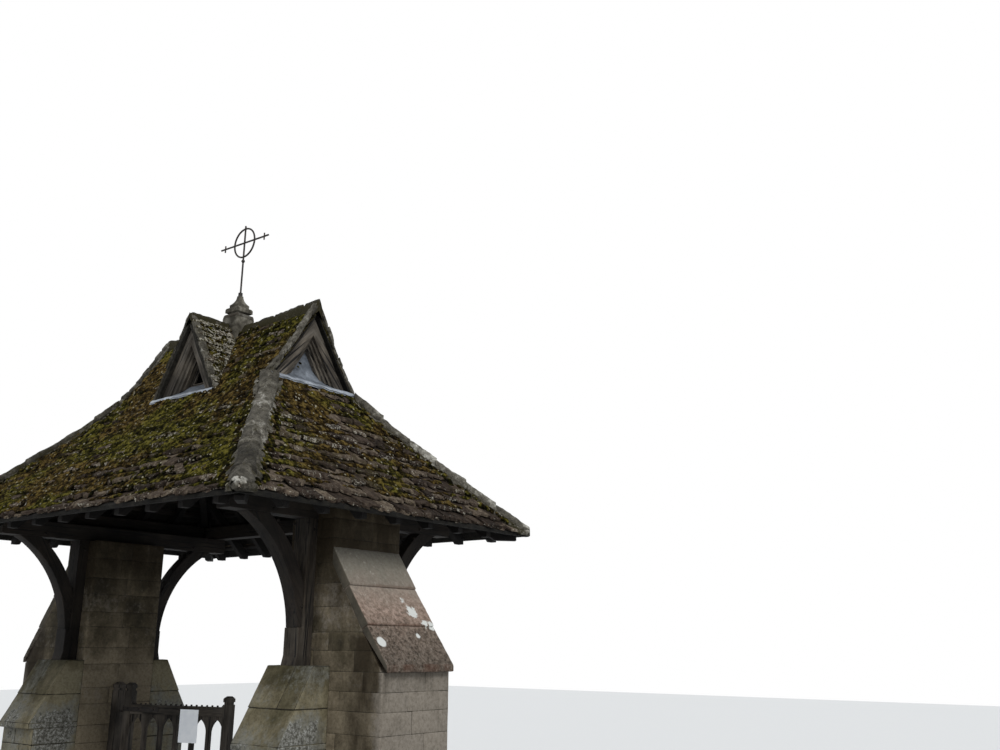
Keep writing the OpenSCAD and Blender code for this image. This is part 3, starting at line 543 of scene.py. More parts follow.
# painted light: a lighter copy of the oak for the right posts
litOak = oakMaterial("Oak with painted light", "#1a1612", "#332c24", "#51483c", "#48423a")
boardOak = oakMaterial("Bleached barge oak", "#2c2721", "#585045", "#82796c", "#7d766c")
gateOak = oakMaterial("Weathered gate oak", "#211d19", "#3d3730", "#5c544a", "#544e47")
lead = leadMaterial()
iron = ironMaterial()
paper = paperMaterial()
print("materials made")


# the roof's own surface

slope = math.tan(math.radians(roof["pitch"]))


def slateHeight(d):  # straight pitch, a tilted edge and a swept top, at distance d in from the eaves
    z = roof["eaves"] + slope * d + roof["kick"] * np.maximum(0, 1 - d / roof["kickWide"]) ** 2
    return z + roof["sweep"] * np.maximum(0, (d - roof["sweepAt"]) / (roofY - roof["sweepAt"])) ** 2


courseLine = roofY * (1 - (1 - np.arange(roof["courses"] + 1) / roof["courses"]) ** roof["power"])
courseHeight = slateHeight(courseLine)


def heightAt(d):  # straight between the lines of the courses
    return np.interp(d, courseLine, courseHeight)


ridgeHeight = float(courseHeight[-1])
frontFoot, sideFoot = float(heightAt(frontTop)), float(heightAt(endTop))
crossSlope = (ridgeHeight - frontFoot) / gableHalf
sideHalf = roofY - endTop


def faceHeight(course, d):  # the solid's stepped face: from this course's line to the next one less the lap
    rise = courseHeight[course + 1] - roof["lap"] - courseHeight[course]
    low, high = courseLine[course], courseLine[course + 1]
    return courseHeight[course] + rise * (d - low) / (high - low)


def courseOf(d):  # number of the course at distance d
    return np.clip(np.searchsorted(courseLine, d, side="right") - 1, 0, roof["courses"] - 1)


def turned(side, x, y, z):  # places on the front turned by quarter turns to a side
    a, b = turns[side]
    return np.stack([a * x - b * y, b * x + a * y, z], -1)


def onSlope(side, u, d, z):  # u along the eaves and d in from them
    return turned(side, u, d - (roofY if side in mains else roofX), z)


def valley(d):  # half width of the cross roof where it meets the main slope
    return np.where(d > frontTop, np.maximum(0, (ridgeHeight - heightAt(d)) / crossSlope), 0)


def edgeOf(main, d):  # half width of a slope: to the hips, and above them to the verge
    return np.maximum(roofX - d, gableX) if main else roofY - d


slates = {"narrow": 0.10, "wide": 0.27, "least": 0.06, "thin": 0.012, "thick": 0.024, "tilt": 0.008,
          "ragged": 0.022, "gap": 0.003, "under": 0.045, "chip": 0.016, "twist": 0.012, "edge": 0.004,
          "lift": 1.15, "drop": (-0.014, 0.016), "eaveDrop": 0.012, "underDrop": 0.030}


def slateCorners(cuts, gap, foot, head, thick, toe, tip):
    # A row of wedges, thick at the foot; toe is the underside there and tip the upper side at the head
    c = rowCorners(cuts, gap)
    c[:, :, 0, :, 1] = foot[:, None, None]
    c[:, :, 1, :, 1] = head
    c[:, :, :, 0, 2] = -0.006
    c[:, :, 0, 0, 2] = toe
    c[:, :, 0, 1, 2] = thick[:, None]
    c[:, :, 1, 1, 2] = tip
    return c


def layCourse(left, right, low, high, course, ragged, rng, seed):
    # Split slates in a row: rounded blocks whose free edge wanders by noise, of random thickness and tilt
    count = int((right - left) / slates["narrow"]) + 2
    cuts = rowCuts(left, rng.uniform(slates["narrow"], slates["wide"], count), right, slates["least"])
    n = len(cuts) - 1
    thick = rng.uniform(slates["thin"], slates["thick"], n) + rng.uniform(0, slates["tilt"], n)
    gap = slates["gap"] * rng.uniform(0.4, 2.2, n)
    drop = rng.uniform(*slates["drop"], n) + {-1: slates["underDrop"], 0: slates["eaveDrop"]}.get(course, 0)
    c = slateCorners(cuts, gap, low + drop, high, thick, -0.002, 0.006)
    p, _, t, f = blocks(c, (8, 5, 3), slates["edge"])
    q = p + rng.uniform(0, 30, (n, 1, 3)) * [1, 1, 0]
    along, free, face = t[..., 0] - 0.5, 1 - t[..., 1], t[..., 2]
    p[..., 2] += np.where(face > 0.3, rng.uniform(-1, 1, n)[:, None] * along * slates["twist"], 0)
    chipped = slates["chip"] * eased(np.abs(along) * 2, 0.68, 1.0) * rng.random(n)[:, None]
    p[..., 1] += free * (ragged * lumps(q, 0.08, seed) + 0.7 * ragged * lumps(q, 0.025, seed + 5) + chipped)
    p[..., 2] += np.where(face > 0.5, 0.005 * lumps(q, 0.06, seed + 1) + 0.002 * lumps(q, 0.02, seed + 2), 0)
    return p, t, f


def laySlates(side, seed):  # every course of a slope and one under the eaves, cut at hips and valleys
    rng = np.random.default_rng(seed)
    main = side in mains
    top = roof["courses"] if main else int(np.searchsorted(courseLine, endTop))
    parts = []
    for course in range(-1, top):
        low, high = (0.0, courseLine[1]) if course < 0 else (courseLine[course], courseLine[course + 1])
        far = min(high + slates["under"], (roofY if main else endTop) - 0.003)
        reach = float(edgeOf(main, low))
        spans = [(-reach, reach, far)]
        if main and high > frontTop:
            v = float(valley(max(low, frontTop + 0.001)))
            spans = [(-reach, -v, far), (v, reach, far)]
            if low < frontTop - 0.02:
                spans.append((-v, v, frontTop + 0.01))
        for left, right, upper in spans:
            if right - left < 0.05:
                continue
            ragged = slates["ragged"] * (1.3 if course < 1 else 1)
            p, t, f = layCourse(left, right, low, upper, course, ragged, rng, seed)
            n, d = len(p), np.maximum(p[..., 1], 0.001)
            edge = edgeOf(main, d) - (0.0 if main else 0.001)
            u = np.clip(p[..., 0], -edge, edge)
            if main and upper == far and low >= 0 and high > frontTop:
                v = valley(d)
                u = np.where(left >= 0, np.maximum(u, v), np.minimum(u, -v))
            z = faceHeight(max(course, 0), d) + p[..., 2] * slates["lift"] - (0.020 if course < 0 else 0.004)
            if course < 0:
                z = np.maximum(z, courseHeight[0] - roof["eaveThick"] + 0.004 * (1 + lumps(p, 0.05, seed)))
            spot = onSlope(side, u, d, z)
            green = 0.32 + 0.20 * lumps(spot.mean(1), 0.6, seed + 7) - 0.20 * math.exp(-max(low, 0) / 0.12)
            green = green - (0.16 if side == "right" else 0.02)
            tone = tonesFor(n, p.shape[1], rng)
            tone[..., 1] = np.clip(green, 0, 1)[:, None]
            # pale lichen at random, and painted highlight on the lower edges of the slates
            tone[..., 2] = 0.45 * rng.random(n)[:, None] + 0.55 * (t[..., 1] < 0.2) * rng.random(n)[:, None]
            parts.append((spot, f, tone))
    points, faces, tones = joined(parts)
    piece = addMesh(side + "_slates", points, faces, slateStone, tones=tones, smooth=False)
    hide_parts(side + "_slope")
    print("slates on the", side, "slope:", len(faces) * 2, "triangles")


for seed, side in enumerate(sides, 11):
    laySlates(side, seed)

bedding = {"above": 0.014, "laths": 0.026, "lathWide": 0.028, "lathGap": 0.11, "first": 0.13, "edge": 0.002}


def shellPatch(side, lines, left, right, nu):
    # A closed shell from left to right at each line: its underside follows the rafters
    d = lines[:, None] + np.zeros(nu)
    u = left[:, None] + (right - left)[:, None] * np.linspace(0, 1, nu)
    face = heightAt(d)
    top = face - roof["lap"] * 0.9 - bedding["above"] + 0.008 * (d < 0.1)
    under = np.where(d < 0.1, courseHeight[0] - roof["eaveThick"] + 0.006,
                     face - roof["thick"] + bedding["laths"])
    points, faces = closedSheet(onSlope(side, u, d, top), onSlope(side, u, d, np.minimum(under, top - 0.006)))
    # painted shade: the first tone of -0.25 darkens the bedding nearly to black
    return points, faces, np.ones((len(points), 4)) * [-0.25, 0.1, 0.2, 1]


def layBedding(side):  # the backs of the slates as closed shells, and laths across the rafters below
    main = side in mains
    top, end = (frontTop, roofY) if main else (endTop, endTop)
    lines = np.concatenate([[0.022, 0.06], courseLine[1:]])
    lower = np.append(lines[lines < top - 0.01], top)
    edge = edgeOf(main, lower) - bedding["edge"]
    parts = [shellPatch(side, lower, -edge, edge, 12)]
    if main:
        upper = np.append(top, lines[lines > top + 0.01])
        edge, inner = edgeOf(True, upper) - 2 * bedding["edge"], valley(upper + 0.0005)
        parts += [shellPatch(side, upper, -edge, -inner, 6), shellPatch(side, upper, inner, edge, 6)]
    points, faces, tones = joined(parts)
    piece = addMesh(side + "_bedding", points, faces, mortar, tones=tones, smooth=False)
    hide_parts(side + "_slope")
    corners = []
    for d in np.arange(bedding["first"], end - 0.05, bedding["lathGap"]):
        reach, inner = float(edgeOf(main, d)) - 0.05, float(valley(d + 0.03)) + 0.02
        spans = [(-reach, -inner), (inner, reach)] if main and d > frontTop - 0.03 else [(-reach, reach)]
        for span in spans:
            if span[1] - span[0] < 0.06:
                continue
            c = np.empty((2, 2, 2, 3))
            for i, j, k in np.ndindex(2, 2, 2):
                upward = d + j * bedding["lathWide"]
                z = heightAt(upward) - roof["thick"] + (0.001, bedding["laths"] + 0.004)[k]
                c[i, j, k] = onSlope(side, span[i], upward, z)
            corners.append(c)
    p, _, _, f = blocks(corners, (3, 3, 3), bedding["edge"])
    grain = p.reshape(-1, 3)[:, [0, 1, 2] if main else [1, 0, 2]]
    piece = addMesh(side + "_laths", p, f, darkOak, grain=grain)
    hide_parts(side + "_slope")


for side in sides:
    layBedding(side)

crossRoof = {"rows": 11, "narrow": 0.06, "wide": 0.14, "least": 0.05, "thin": 0.018, "thick": 0.030,
             "gap": 0.003, "edge": 0.004, "lap": 0.03, "valley": 0.03, "drop": (-0.006, 0.008)}


def crossSlates(name, sign, seed):
    # Slates of the cross roof: courses run along the ridge of the gablet, cut at verge and valley
    rng = np.random.default_rng(seed)
    rise = math.hypot(1, crossSlope)
    parts, rows = [], crossRoof["rows"]
    for half in (-1, 1):
        for row in range(rows):
            low, high = gableHalf * (1 - row / rows), gableHalf * (1 - (row + 1) / rows)
            widths = rng.uniform(crossRoof["narrow"], crossRoof["wide"], 12)
            cuts = rowCuts(0, widths, gableY, crossRoof["least"])
            n, head = len(cuts) - 1, (low - high) * rise + crossRoof["lap"]
            foot = rng.uniform(*crossRoof["drop"], n)
            thick = rng.uniform(crossRoof["thin"], crossRoof["thick"], n)
            c = slateCorners(cuts, crossRoof["gap"], foot, head, thick, -0.006, 0.005)
            p, _, t, f = blocks(c, (6, 4, 3), crossRoof["edge"])
            q = p + rng.uniform(0, 30, (n, 1, 3)) * [1, 1, 0]
            p[..., 1] += (1 - t[..., 1]) * 0.010 * lumps(q, 0.05, seed)
            p[..., 2] += np.where(t[..., 2] > 0.5, 0.004 * lumps(q, 0.04, seed + 1), 0)
            x = np.maximum(low - p[..., 1] / rise + p[..., 2] * crossSlope / rise, 0)
            z = ridgeHeight - crossSlope * low + p[..., 1] * crossSlope / rise + p[..., 2] / rise
            back = roofY - np.interp(z - 0.02, courseHeight, courseLine) - crossRoof["valley"]
            y = np.maximum(gableY - p[..., 0] + 0.006 * lumps(q, 0.04, seed + 3), np.clip(back, 0, gableY))
            tone = tonesFor(n, p.shape[1], rng)
            tone[..., 1] = 0.30 + 0.15 * rng.random(n)[:, None]
            tone[..., 2] = 0.7 + 0.4 * rng.random(n)[:, None]
            spot = np.stack([half * x, sign * np.clip(y, 0, gableY), z], -1)
            parts.append((spot, f[:, ::-1] if half * sign > 0 else f, tone))
    points, faces, tones = joined(parts)
    piece = addMesh(name + "_gablet_slates", points, faces, slateStone, tones=tones, smooth=False)


crossSlates("front", -1, 31)
crossSlates("back", 1, 32)

# The moss mat: step is the spacing of its points, cover the share of the slates it hides
mat = {"step": {"front": 0.0125, "right": 0.0125, "back": 0.016, "left": 0.016},
       "cover": {"front": 0.58, "right": 0.20, "back": 0.50, "left": 0.28},
       "depth": 0.022, "clump": 0.040, "sunk": 0.014, "lean": 0.7, "hip": 0.055}


def layMoss(side, seed):
    # A mat over the softened course steps: its depth is the cover, from broad noise, times rounded clumps
    # of two sizes; where the cover is thin it runs in under the slates and is left out
    main = side in mains
    top = roofY - 0.04 if main else endTop - 0.02
    edge = roofX if main else roofY
    step = mat["step"][side]
    nd, nu = int(top / (step * 0.72)), int(2 * edge / step)
    d, u = np.meshgrid(np.linspace(0.012, top, nd), np.linspace(-edge, edge, nu), indexing="ij")
    rng = np.random.default_rng(seed)
    d = d + rng.uniform(-0.3, 0.3, d.shape) * top / nd
    u = u + rng.uniform(-0.3, 0.3, d.shape) * step
    fineD = np.linspace(0, roofY - 0.001, 1500)
    steps = faceHeight(courseOf(fineD), fineD) + np.where(fineD < 1.7, 0.012, 0)
    soft = np.convolve(np.pad(steps, 12, mode="edge"), np.ones(25) / 25, mode="valid")
    spot = np.stack([u + 7 * seed, d, 0 * d], -1)
    c = courseOf(d)
    phase = (d - courseLine[c]) / (courseLine[c + 1] - courseLine[c])
    cover = mat["cover"][side] + 0.30 * np.cos(2 * math.pi * (phase - 0.62))  # thickest past mid course
    cover = cover - 0.75 * np.exp(-(d / 0.10) ** 2) + 0.25 * eased(d, 0.2, 1.0)  # bare at the eaves
    for k, (size, share, pull) in enumerate(((0.55, 0.42, 1.6), (0.17, 0.40, 2.2), (0.06, 0.30, 1.5))):
        cover = cover + share * lumps(spot * [1, pull, 1], size, seed + k)
    cover = eased(cover, 0.0, 0.55)
    clumps = domes(u, d * 1.35, mat["clump"], seed + 3)
    buds = domes(u, d * 1.35, mat["clump"] * 0.5, seed + 4)
    height = cover * (0.008 + mat["depth"] * (0.75 * clumps + 0.45 * buds)) - mat["sunk"]
    inside = (np.abs(u) < edgeOf(main, d) - mat["hip"]) & (height > -0.5 * mat["sunk"])
    if main:
        inside &= (d < frontTop - gablet["apron"] - 0.01) | (np.abs(u) > valley(d) + 0.03)
    raised = height * mat["lean"]
    world = onSlope(side, u, d - raised, np.interp(d, fineD, soft) + raised)
    tone = np.ones(d.shape + (4,))
    # painted shade: the lower the mat, the darker
    tone[..., 0] = np.clip(0.70 * clumps * cover + 0.40 * buds + 0.15 * rng.random(d.shape) - 0.05, 0, 1)
    tone[..., 1] = np.clip(0.38 + 0.35 * lumps(spot, 0.35, seed + 5) - (0.10 if side == "right" else 0), 0, 1)
    faces = sheetFaces(nd, nu)[:, ::-1]
    used, faces = np.unique(faces[inside.ravel()[faces].all(1)], return_inverse=True)
    faces = faces.reshape(-1, 4)
    piece = addMesh(side + "_moss", world.reshape(-1, 3)[used], faces, moss, tones=tone.reshape(-1, 4)[used])
    print("moss on the", side, "slope:", len(faces) * 2, "triangles")


for seed, side in enumerate(sides, 41):
    layMoss(side, seed)

cushions = {"count": 2400, "small": 0.012, "large": 0.036, "high": 0.45, "hips": 0.3, "slopes": 0.5,
            "rings": 3, "sides": 8, "up": 0.014, "rough": 0.004}


def mossCushions(seed):
    # Loose cushions: flattened half balls tilted to the slates they sit on and made lumpy by noise.
    # A third lie in rows beside the hips, a third on the cross roofs and the rest anywhere on the long slopes
    rng = np.random.default_rng(seed)
    count = cushions["count"]
    kind = rng.random(count)
    d = rng.uniform(0.10, roofY - 0.03, count)
    x = rng.uniform(0, 1, count) * np.maximum(edgeOf(True, d) - 0.12, 0.05)
    hip = kind < cushions["hips"]
    up = rng.uniform(0.06, endTop, count)
    off = rng.uniform(0.085, 0.16, count) * rng.choice([-0.7, 0.7], count)
    x, y = np.where(hip, roofX - up + off, x), np.where(hip, roofY - up - off, roofY - d)
    acrossX, acrossY = rng.uniform(0.06, gableHalf, count), rng.uniform(0.05, gableY - 0.04, count)
    acrossZ = ridgeHeight - crossSlope * acrossX
    cross = (kind > cushions["slopes"]) & (acrossZ > heightAt(roofY - acrossY) + 0.03)
    x, y = np.where(cross, acrossX, x), np.where(cross, acrossY, y)
    end = ~cross & (x < roofX) & (roofX - x < roofY - y)
    z = np.where(cross, acrossZ, heightAt(np.where(end, roofX - x, roofY - y)))
    steep = np.where(cross, crossSlope, np.where(end, slope, 0))
    gradient = np.stack([steep, np.where(cross | end, 0, slope)], -1)
    keep = cross | ((x > valley(roofY - y) + 0.03) & (x < roofX - 0.02) & (y < roofY - 0.02))
    x, y, z, gradient = x[keep], y[keep], z[keep], gradient[keep]
    count = len(x)
    sx, sy = rng.choice([-1, 1], count), rng.choice([-1, 1], count)
    size = rng.uniform(cushions["small"], cushions["large"], count)
    a = np.arange(cushions["sides"]) / cushions["sides"] * 2 * math.pi
    rings = [np.stack([math.cos(b) * np.cos(a + i), math.cos(b) * np.sin(a + i), math.sin(b) + 0 * a], -1)
             for i, b in enumerate((-0.3, 0.35, 0.95))]
    ball = np.concatenate(rings + [[[0, 0, 1.0]]])
    p = ball[None] * size[:, None, None] * [1, 1, cushions["high"]]
    p[..., :2] /= np.hypot(1, gradient)[:, None]
    p[..., 2] = p[..., 2] * 1.4 - gradient[:, :1] * p[..., 0] - gradient[:, 1:] * p[..., 1]
    p = (p + np.stack([x, y, z + cushions["up"]], -1)[:, None]) * np.stack([sx, sy, 1 + 0 * sx], -1)[:, None]
    p = p + cushions["rough"] * np.stack([lumps(p, 0.02, seed + k) for k in range(3)], -1)
    faces = ringFaces(count, cushions["sides"], cushions["rings"], (sx * sy < 0)[:, None, None])
    tone = np.ones((count, len(ball), 4))
    # painted shade: darker towards the foot of each cushion
    tone[..., 0] = np.clip(0.25 + 0.45 * ball[None, :, 2] + 0.3 * rng.random(count)[:, None], 0, 1)
    tone[..., 1] = rng.uniform(0.2, 0.6, count)[:, None]
    piece = addMesh("moss_cushions", p, faces, moss, tones=tone)


mossCushions(51)

# hips, ridges and verges

caps = {"bedWide": 0.110, "bedHigh": 0.022, "tileWide": 0.062, "tileHigh": 0.066, "tileDown": 0.022,
        "tile": 0.40, "ridgeWide": 0.046, "ridgeHigh": 0.030, "ridgeRise": 0.052, "stone": 0.42,
        "points": 15, "under": 0.025}


def capStrip(centre, across, high, seed, surface, flip, gaps=0.0, rough=1.0):
    # Half an ellipse swept along a line: its width and height wander by noise, its feet follow the surface
    # and its flat underside lies just below it
    w = -np.cos(np.linspace(0, math.pi, caps["points"]))
    run = runOf(centre)
    way = np.stack([run, 0 * run, 0 * run + seed], -1)
    half = 1 + rough * (0.16 * lumps(way, 0.16, seed) + 0.08 * lumps(way, 0.05, seed))
    flat = centre[:, None, :] + across[:, None, :] * (w[None] * half[:, None])[..., None]
    flat[..., 2] = surface(flat[..., 0], flat[..., 1], centre[:, 2][:, None])
    shape = np.sqrt(np.maximum(0, 1 - np.abs(w) ** 2.4))[None]
    joints = 1 - gaps * np.exp(-((np.mod(run, caps["stone"]) - 0.01) / 0.010) ** 2)
    bulk = high * (1 + 0.20 * rough * lumps(way, 0.22, seed + 2)) * joints
    up = flat.copy()
    wander = rough * (0.010 * lumps(flat, 0.10, seed) + 0.007 * lumps(flat, 0.035, seed + 1))
    up[..., 2] += bulk[:, None] * shape + wander * (0.3 + 0.7 * shape) + 0.006
    ring = np.concatenate([up, (flat - np.array([0, 0, caps["under"]]))[:, ::-1]], 1)
    k, count = ring.shape[1], len(centre)
    j = np.arange(count - 1)[:, None] * k
    i = (j + np.arange(k)[None]).ravel()
    e = (j + (np.arange(k)[None] + 1) % k).ravel()
    quads = np.stack([i, e, e + k, i + k], 1)
    fan = np.arange(1, k - 1)
    lids = np.stack([0 * fan, fan + 1, fan], 1)
    lids = np.concatenate([lids, lids[:, [0, 2, 1]] + (count - 1) * k])
    tone = np.ones((count, k, 4))
    tone[..., 0] = 0.5 + 0.25 * lumps(way, 0.3, seed + 4)[:, None] + 0.15 * lumps(ring, 0.06, seed + 5)
    turn = -1 if flip else 1
    return ring.reshape(-1, 3), quads[:, ::turn], lids[:, ::turn], tone.reshape(-1, 4)


def capPiece(name, strips, node):  # strips joined in one piece that takes the place of a cap
    points, quads, tones = joined([(p, q, t) for p, q, e, t in strips])
    lids = joined([(p, e, t) for p, q, e, t in strips])[1]
    piece = addMesh(name, points, [quads, lids], mortar, tones=tones)
    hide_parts(node)


def roofAt(x, y, middle):  # height of the slates, never far from the height at the middle of the strip
    end, main = roofX - np.abs(x), roofY - np.abs(y)
    z = heightAt(np.where(np.abs(x) > gableX, np.minimum(end, main), main))
    return np.clip(z, middle - 0.075, middle + 0.02)


def hipLine(sx, sy, d, z, wide, shift=0.0):  # places up a hip at distances d in, and the way across it
    centre = np.stack([sx * (roofX - d + shift), sy * (roofY - d - shift), z], -1)
    return centre, np.array([sx, -sy, 0]) * math.sqrt(0.5) * (wide + 0 * d)[:, None]


def hipStrip(sx, sy, seed):  # mortar bed from the corner of the eaves up the hip, thin at both ends
    d = np.linspace(0.010, endTop + 0.02, 140)
    near = sx > 0 and sy < 0
    high = (caps["bedHigh"] + 0.014 * near) * (1 - 0.5 * eased(d, endTop - 0.12, endTop))
    p, q, e, t = capStrip(*hipLine(sx, sy, d, heightAt(d), caps["bedWide"]), high, seed, roofAt, sx * sy > 0)
    t[:, 0] = np.clip(t[:, 0] + 0.10 * (sx > 0), 0, 1)
    t[:, 1] = 0.26 if near else 0.34
    return p, q, e, t


def hipTiles(sx, sy, seed):
    # Half-round tiles up the hip, each lapped by the one above; the lowest has a whitened crown
    rng = np.random.default_rng(seed)
    strips, start, near, steps = [], 0.004, sx > 0 and sy < 0, 24
    pale = {(1, -1): 0.16, (1, 1): 0.34}.get((sx, sy), 0.05)
    while start < endTop - 0.08:
        end = min(start + caps["tile"] * rng.uniform(0.75, 1.0) / math.sqrt(3), endTop + 0.01)
        d = np.linspace(start, end + 0.012, steps)
        share = (d - start) / (end - start)
        shift, turn = rng.uniform(-0.008, 0.008), rng.uniform(-0.012, 0.012)
        z = heightAt(d) - caps["tileDown"] + 0.010 * (1 - share)
        taper = 1.06 - 0.10 * share
        wide = caps["tileWide"] * taper * (1.25 if near and start > 0.1 else 1.0)
        high = caps["tileHigh"] * (0.70 if near else 1.0) * taper
        centre, across = hipLine(sx, sy, d, z, wide, shift + turn * share)
        p, q, e, t = capStrip(centre, across, high, seed + len(strips), lambda x, y, middle: middle + 0 * x,
                              sx * sy > 0, rough=0.8)
        around = len(t) // steps
        crown = eased(p[:, 2] - np.repeat(z, around), 0.028, 0.040)
        white = (0.6 if start < 0.1 and sx > 0 else 0.1) * np.repeat(d < start + 0.045, around) * crown
        t[:, 0] = np.clip(t[:, 0] - 0.14 + pale + rng.uniform(-0.10, 0.10) + white, 0, 1)
        t[:, 1] = 0.18 if sx > 0 else 0.30
        strips.append((p, q, e, t))
        start = end
    return strips


capPiece("hip_mortar", [hipStrip(sx, sy, 61 + i) for i, (sx, sy) in enumerate(cornerSigns)], "hip_caps")
tiles = [hipTiles(sx, sy, 65 + i) for i, (sx, sy) in enumerate(cornerSigns)]
capPiece("hip_tiles", sum(tiles, []), "hip_caps")


def ridgeStrip(way, start, end, seed):
    # Sawn ridge stones over both slopes, their tops rising to the ends of the main ridge
    t = np.linspace(start, end, max(12, int(abs(end - start) / 0.012)))
    rise = caps["ridgeRise"] * (1 if way == "x" else 0.2) * eased(np.abs(t), 0.15, gableX)
    centre = np.stack([t, 0 * t, 0 * t + ridgeHeight], -1)
    across = np.tile([0, caps["ridgeWide"], 0], (len(t), 1))
    if way == "y":
        centre, across = centre[:, [1, 0, 2]], -across[:, [1, 0, 2]]

    def surface(x, y, middle):
        return heightAt(roofY - np.abs(y)) if way == "x" else ridgeHeight - np.abs(x) * crossSlope
    high = caps["ridgeHigh"] + rise
    p, q, e, tone = capStrip(centre, across, high, seed, surface, end < start, 0.35, 0.7)
    tone[:, 0] *= 0.6
    top = p[:, 2] > np.repeat(ridgeHeight + 0.75 * high, len(p) // len(t))
    tone[:, 1] = np.where(top, 0.30, 0.46)
    return p, q, e, tone


clear, pastX, pastY = 0.112, 0.010, 0.008  # half the room left for the finial; how far ridges pass the gables
spans = (("x", clear, gableX + pastX), ("x", -gableX - pastX, -clear),
         ("y", clear, gableY + pastY), ("y", -gableY - pastY, -clear))
capPiece("ridge_stones", [ridgeStrip(*span, 71 + i) for i, span in enumerate(spans)], "ridge_caps")

verge = {"short": 0.07, "long": 0.16, "pack": 0.62, "least": 0.03, "narrow": 0.07, "wide": 0.10,
         "thin": 0.026, "thick": 0.044, "out": 0.012, "gap": 0.002, "edge": 0.008}


def vergeStones(main, sx, sy, rng):
    # Two layers of rough stones up a verge, laid out as (along, in, up), roughened and set on the rake
    start, top = (endTop, roofY - 0.01) if main else (0.0, gableHalf - 0.01)
    parts = []
    for layer in (0, 1):
        widths = rng.uniform(verge["short"], verge["long"], 20) * verge["pack"]
        c = rowCorners(rowCuts(start, widths, top, verge["least"]), verge["gap"])
        n = len(c)
        c[:, :, 0, :, 1] = -verge["out"] * rng.uniform(-0.4, 1.0, n)[:, None, None]
        wide = rng.uniform(verge["narrow"], verge["wide"], n)[:, None, None]
        c[:, :, 1, :, 1] = wide * (0.75 if layer else 1)
        thick = rng.uniform(verge["thin"], verge["thick"], n)
        c[:, :, :, 0, 2] = -0.020 + 0.030 * layer
        c[:, :, :, 1, 2] = (thick + 0.018 * layer)[:, None, None] * (0.8 if layer == 0 else 1)
        c[:, 1, :, 1, 2] -= 0.008
        p, _, _, f = blocks(c, (5, 6, 4), verge["edge"])
        q = p + rng.uniform(0, 30, (n, 1, 3))
        for k, (rough, size) in enumerate(((0.006, 0.03), (0.008, 0.035), (0.006, 0.04))):
            p[..., k] += rough * lumps(q, size, 5 + k)
        along, inward, up = p[..., 0], p[..., 1], p[..., 2]
        if main:
            z = heightAt(along) + caps["ridgeRise"] * 0.8 * eased(along, endTop + 0.2, roofY)
            x, y = gableX - inward, np.maximum(roofY - along, 0)
        else:
            z = frontFoot + crossSlope * along
            x, y = np.maximum(gableHalf - along, 0), gableY - inward
        tone = tonesFor(n, p.shape[1], rng)
        tone[..., 0] = 0.30 + 0.35 * rng.random(n)[:, None] + (0.06 if sx > 0 else -0.05)
        tone[..., 1] = 0.22
        spot = np.stack([sx * x, sy * y, z + up], -1)
        parts.append((spot, f[:, ::-1] if (sx * sy > 0) == main else f, tone))
    return parts


rng = np.random.default_rng(75)
parts = sum([vergeStones(main, sx, sy, rng) for main in (True, False) for sx, sy in cornerSigns], [])
points, faces, tones = joined(parts)
addMesh("verge_stones", points, faces, mortar, tones=tones, smooth=False)
print("hips and ridges laid")


# lead

sheets = {"thick": 0.003, "dent": 0.005, "wave": 0.016, "long": 42, "across": 49}


def leadGablet(side, out, foot, half, panel):
    # One dressed sheet: a wavy edge on the slates, up the sill, round a soft bend and up the panel;
    # each line across is as wide as the opening there
    rise = (ridgeHeight - foot) / half
    fall = roof["thick"] + math.hypot(1, rise) * (gablet["barge"] + gablet["mouldings"] * gablet["moulding"])
    face, apron = out - gablet["verge"] - gablet["recess"], gablet["apron"]
    sill = foot + gablet["sillRise"]
    profile = [(out + apron, foot - apron * slope + 0.030),
               (out + 0.015, foot + 0.026), (out - 0.02, foot + 0.034),
               (out - gablet["verge"] - gablet["recess"] * 0.55, foot + gablet["sillRise"] * 0.62)]
    if panel:
        profile += [(face + 0.032, sill + 0.004), (face + 0.012, sill + 0.045),
                    (face + 0.006, ridgeHeight - fall - 0.004)]
    else:
        profile += [(face + 0.010, sill + 0.006)]
    profile = np.array(profile)
    s = runOf(profile)
    nt, ns = sheets["long"], sheets["across"]
    t = np.linspace(0, s[-1], nt)
    line = np.stack([np.interp(t, s, profile[:, 0]), np.interp(t, s, profile[:, 1])])
    for _ in range(2):
        line[:, 1:-1] = (line[:, :-2] + line[:, 1:-1] + line[:, 2:]) / 3
    y, z = line
    deep = eased(out - y, 0.04, 0.14)
    width = np.maximum((ridgeHeight - fall * deep - roof["thick"] * (1 - deep) - z) / rise, 0.002)
    width = np.minimum(np.where(y > out, half, width), half * 0.985)
    x = width[:, None] * np.linspace(-1, 1, ns)[None]
    yy, zz = y[:, None] + 0 * x, z[:, None] + 0 * x
    spot = np.stack([x + out * 9, yy, zz], -1)
    dent = sheets["dent"] * (lumps(spot, 0.09, 5) + 0.5 * lumps(spot, 0.04, 6))
    edge = eased(y, out + 0.01, out + apron)[:, None]
    yy = yy + edge * sheets["wave"] * lumps(spot, 0.12, 7)
    zz = zz + dent + 0.5 * sheets["wave"] * edge * lumps(spot, 0.07, 8)
    top = turned(side, x, -yy, zz)
    low = turned(side, x * 0.998, -yy + 0.001, zz - sheets["thick"] - 0.010 * (edge > 0.85))
    points, faces = closedSheet(top, low)
    tone = np.ones((len(points), 4))
    # painted shade: darker deep in the gablet's recess
    pale = 0.22 + 0.34 * eased(y, out - 0.03, out + 0.01) - 0.20 * eased(out - y, 0.10, 0.17)
    tone[:, 0] = np.tile(np.repeat(pale, ns), 2)
    return points, faces[:, ::-1], tone


leads = [leadGablet(side, gableY, frontFoot, gableHalf, False) for side in ("front", "back")]
leads += [leadGablet(side, gableX, sideFoot, sideHalf, True) for side in ("right", "left")]
points, faces, tones = joined(leads)
leadPiece = addMesh("dressed_lead", points, faces, lead, tones=tones)
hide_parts("lead_aprons")
print("lead dressed")


# masonry

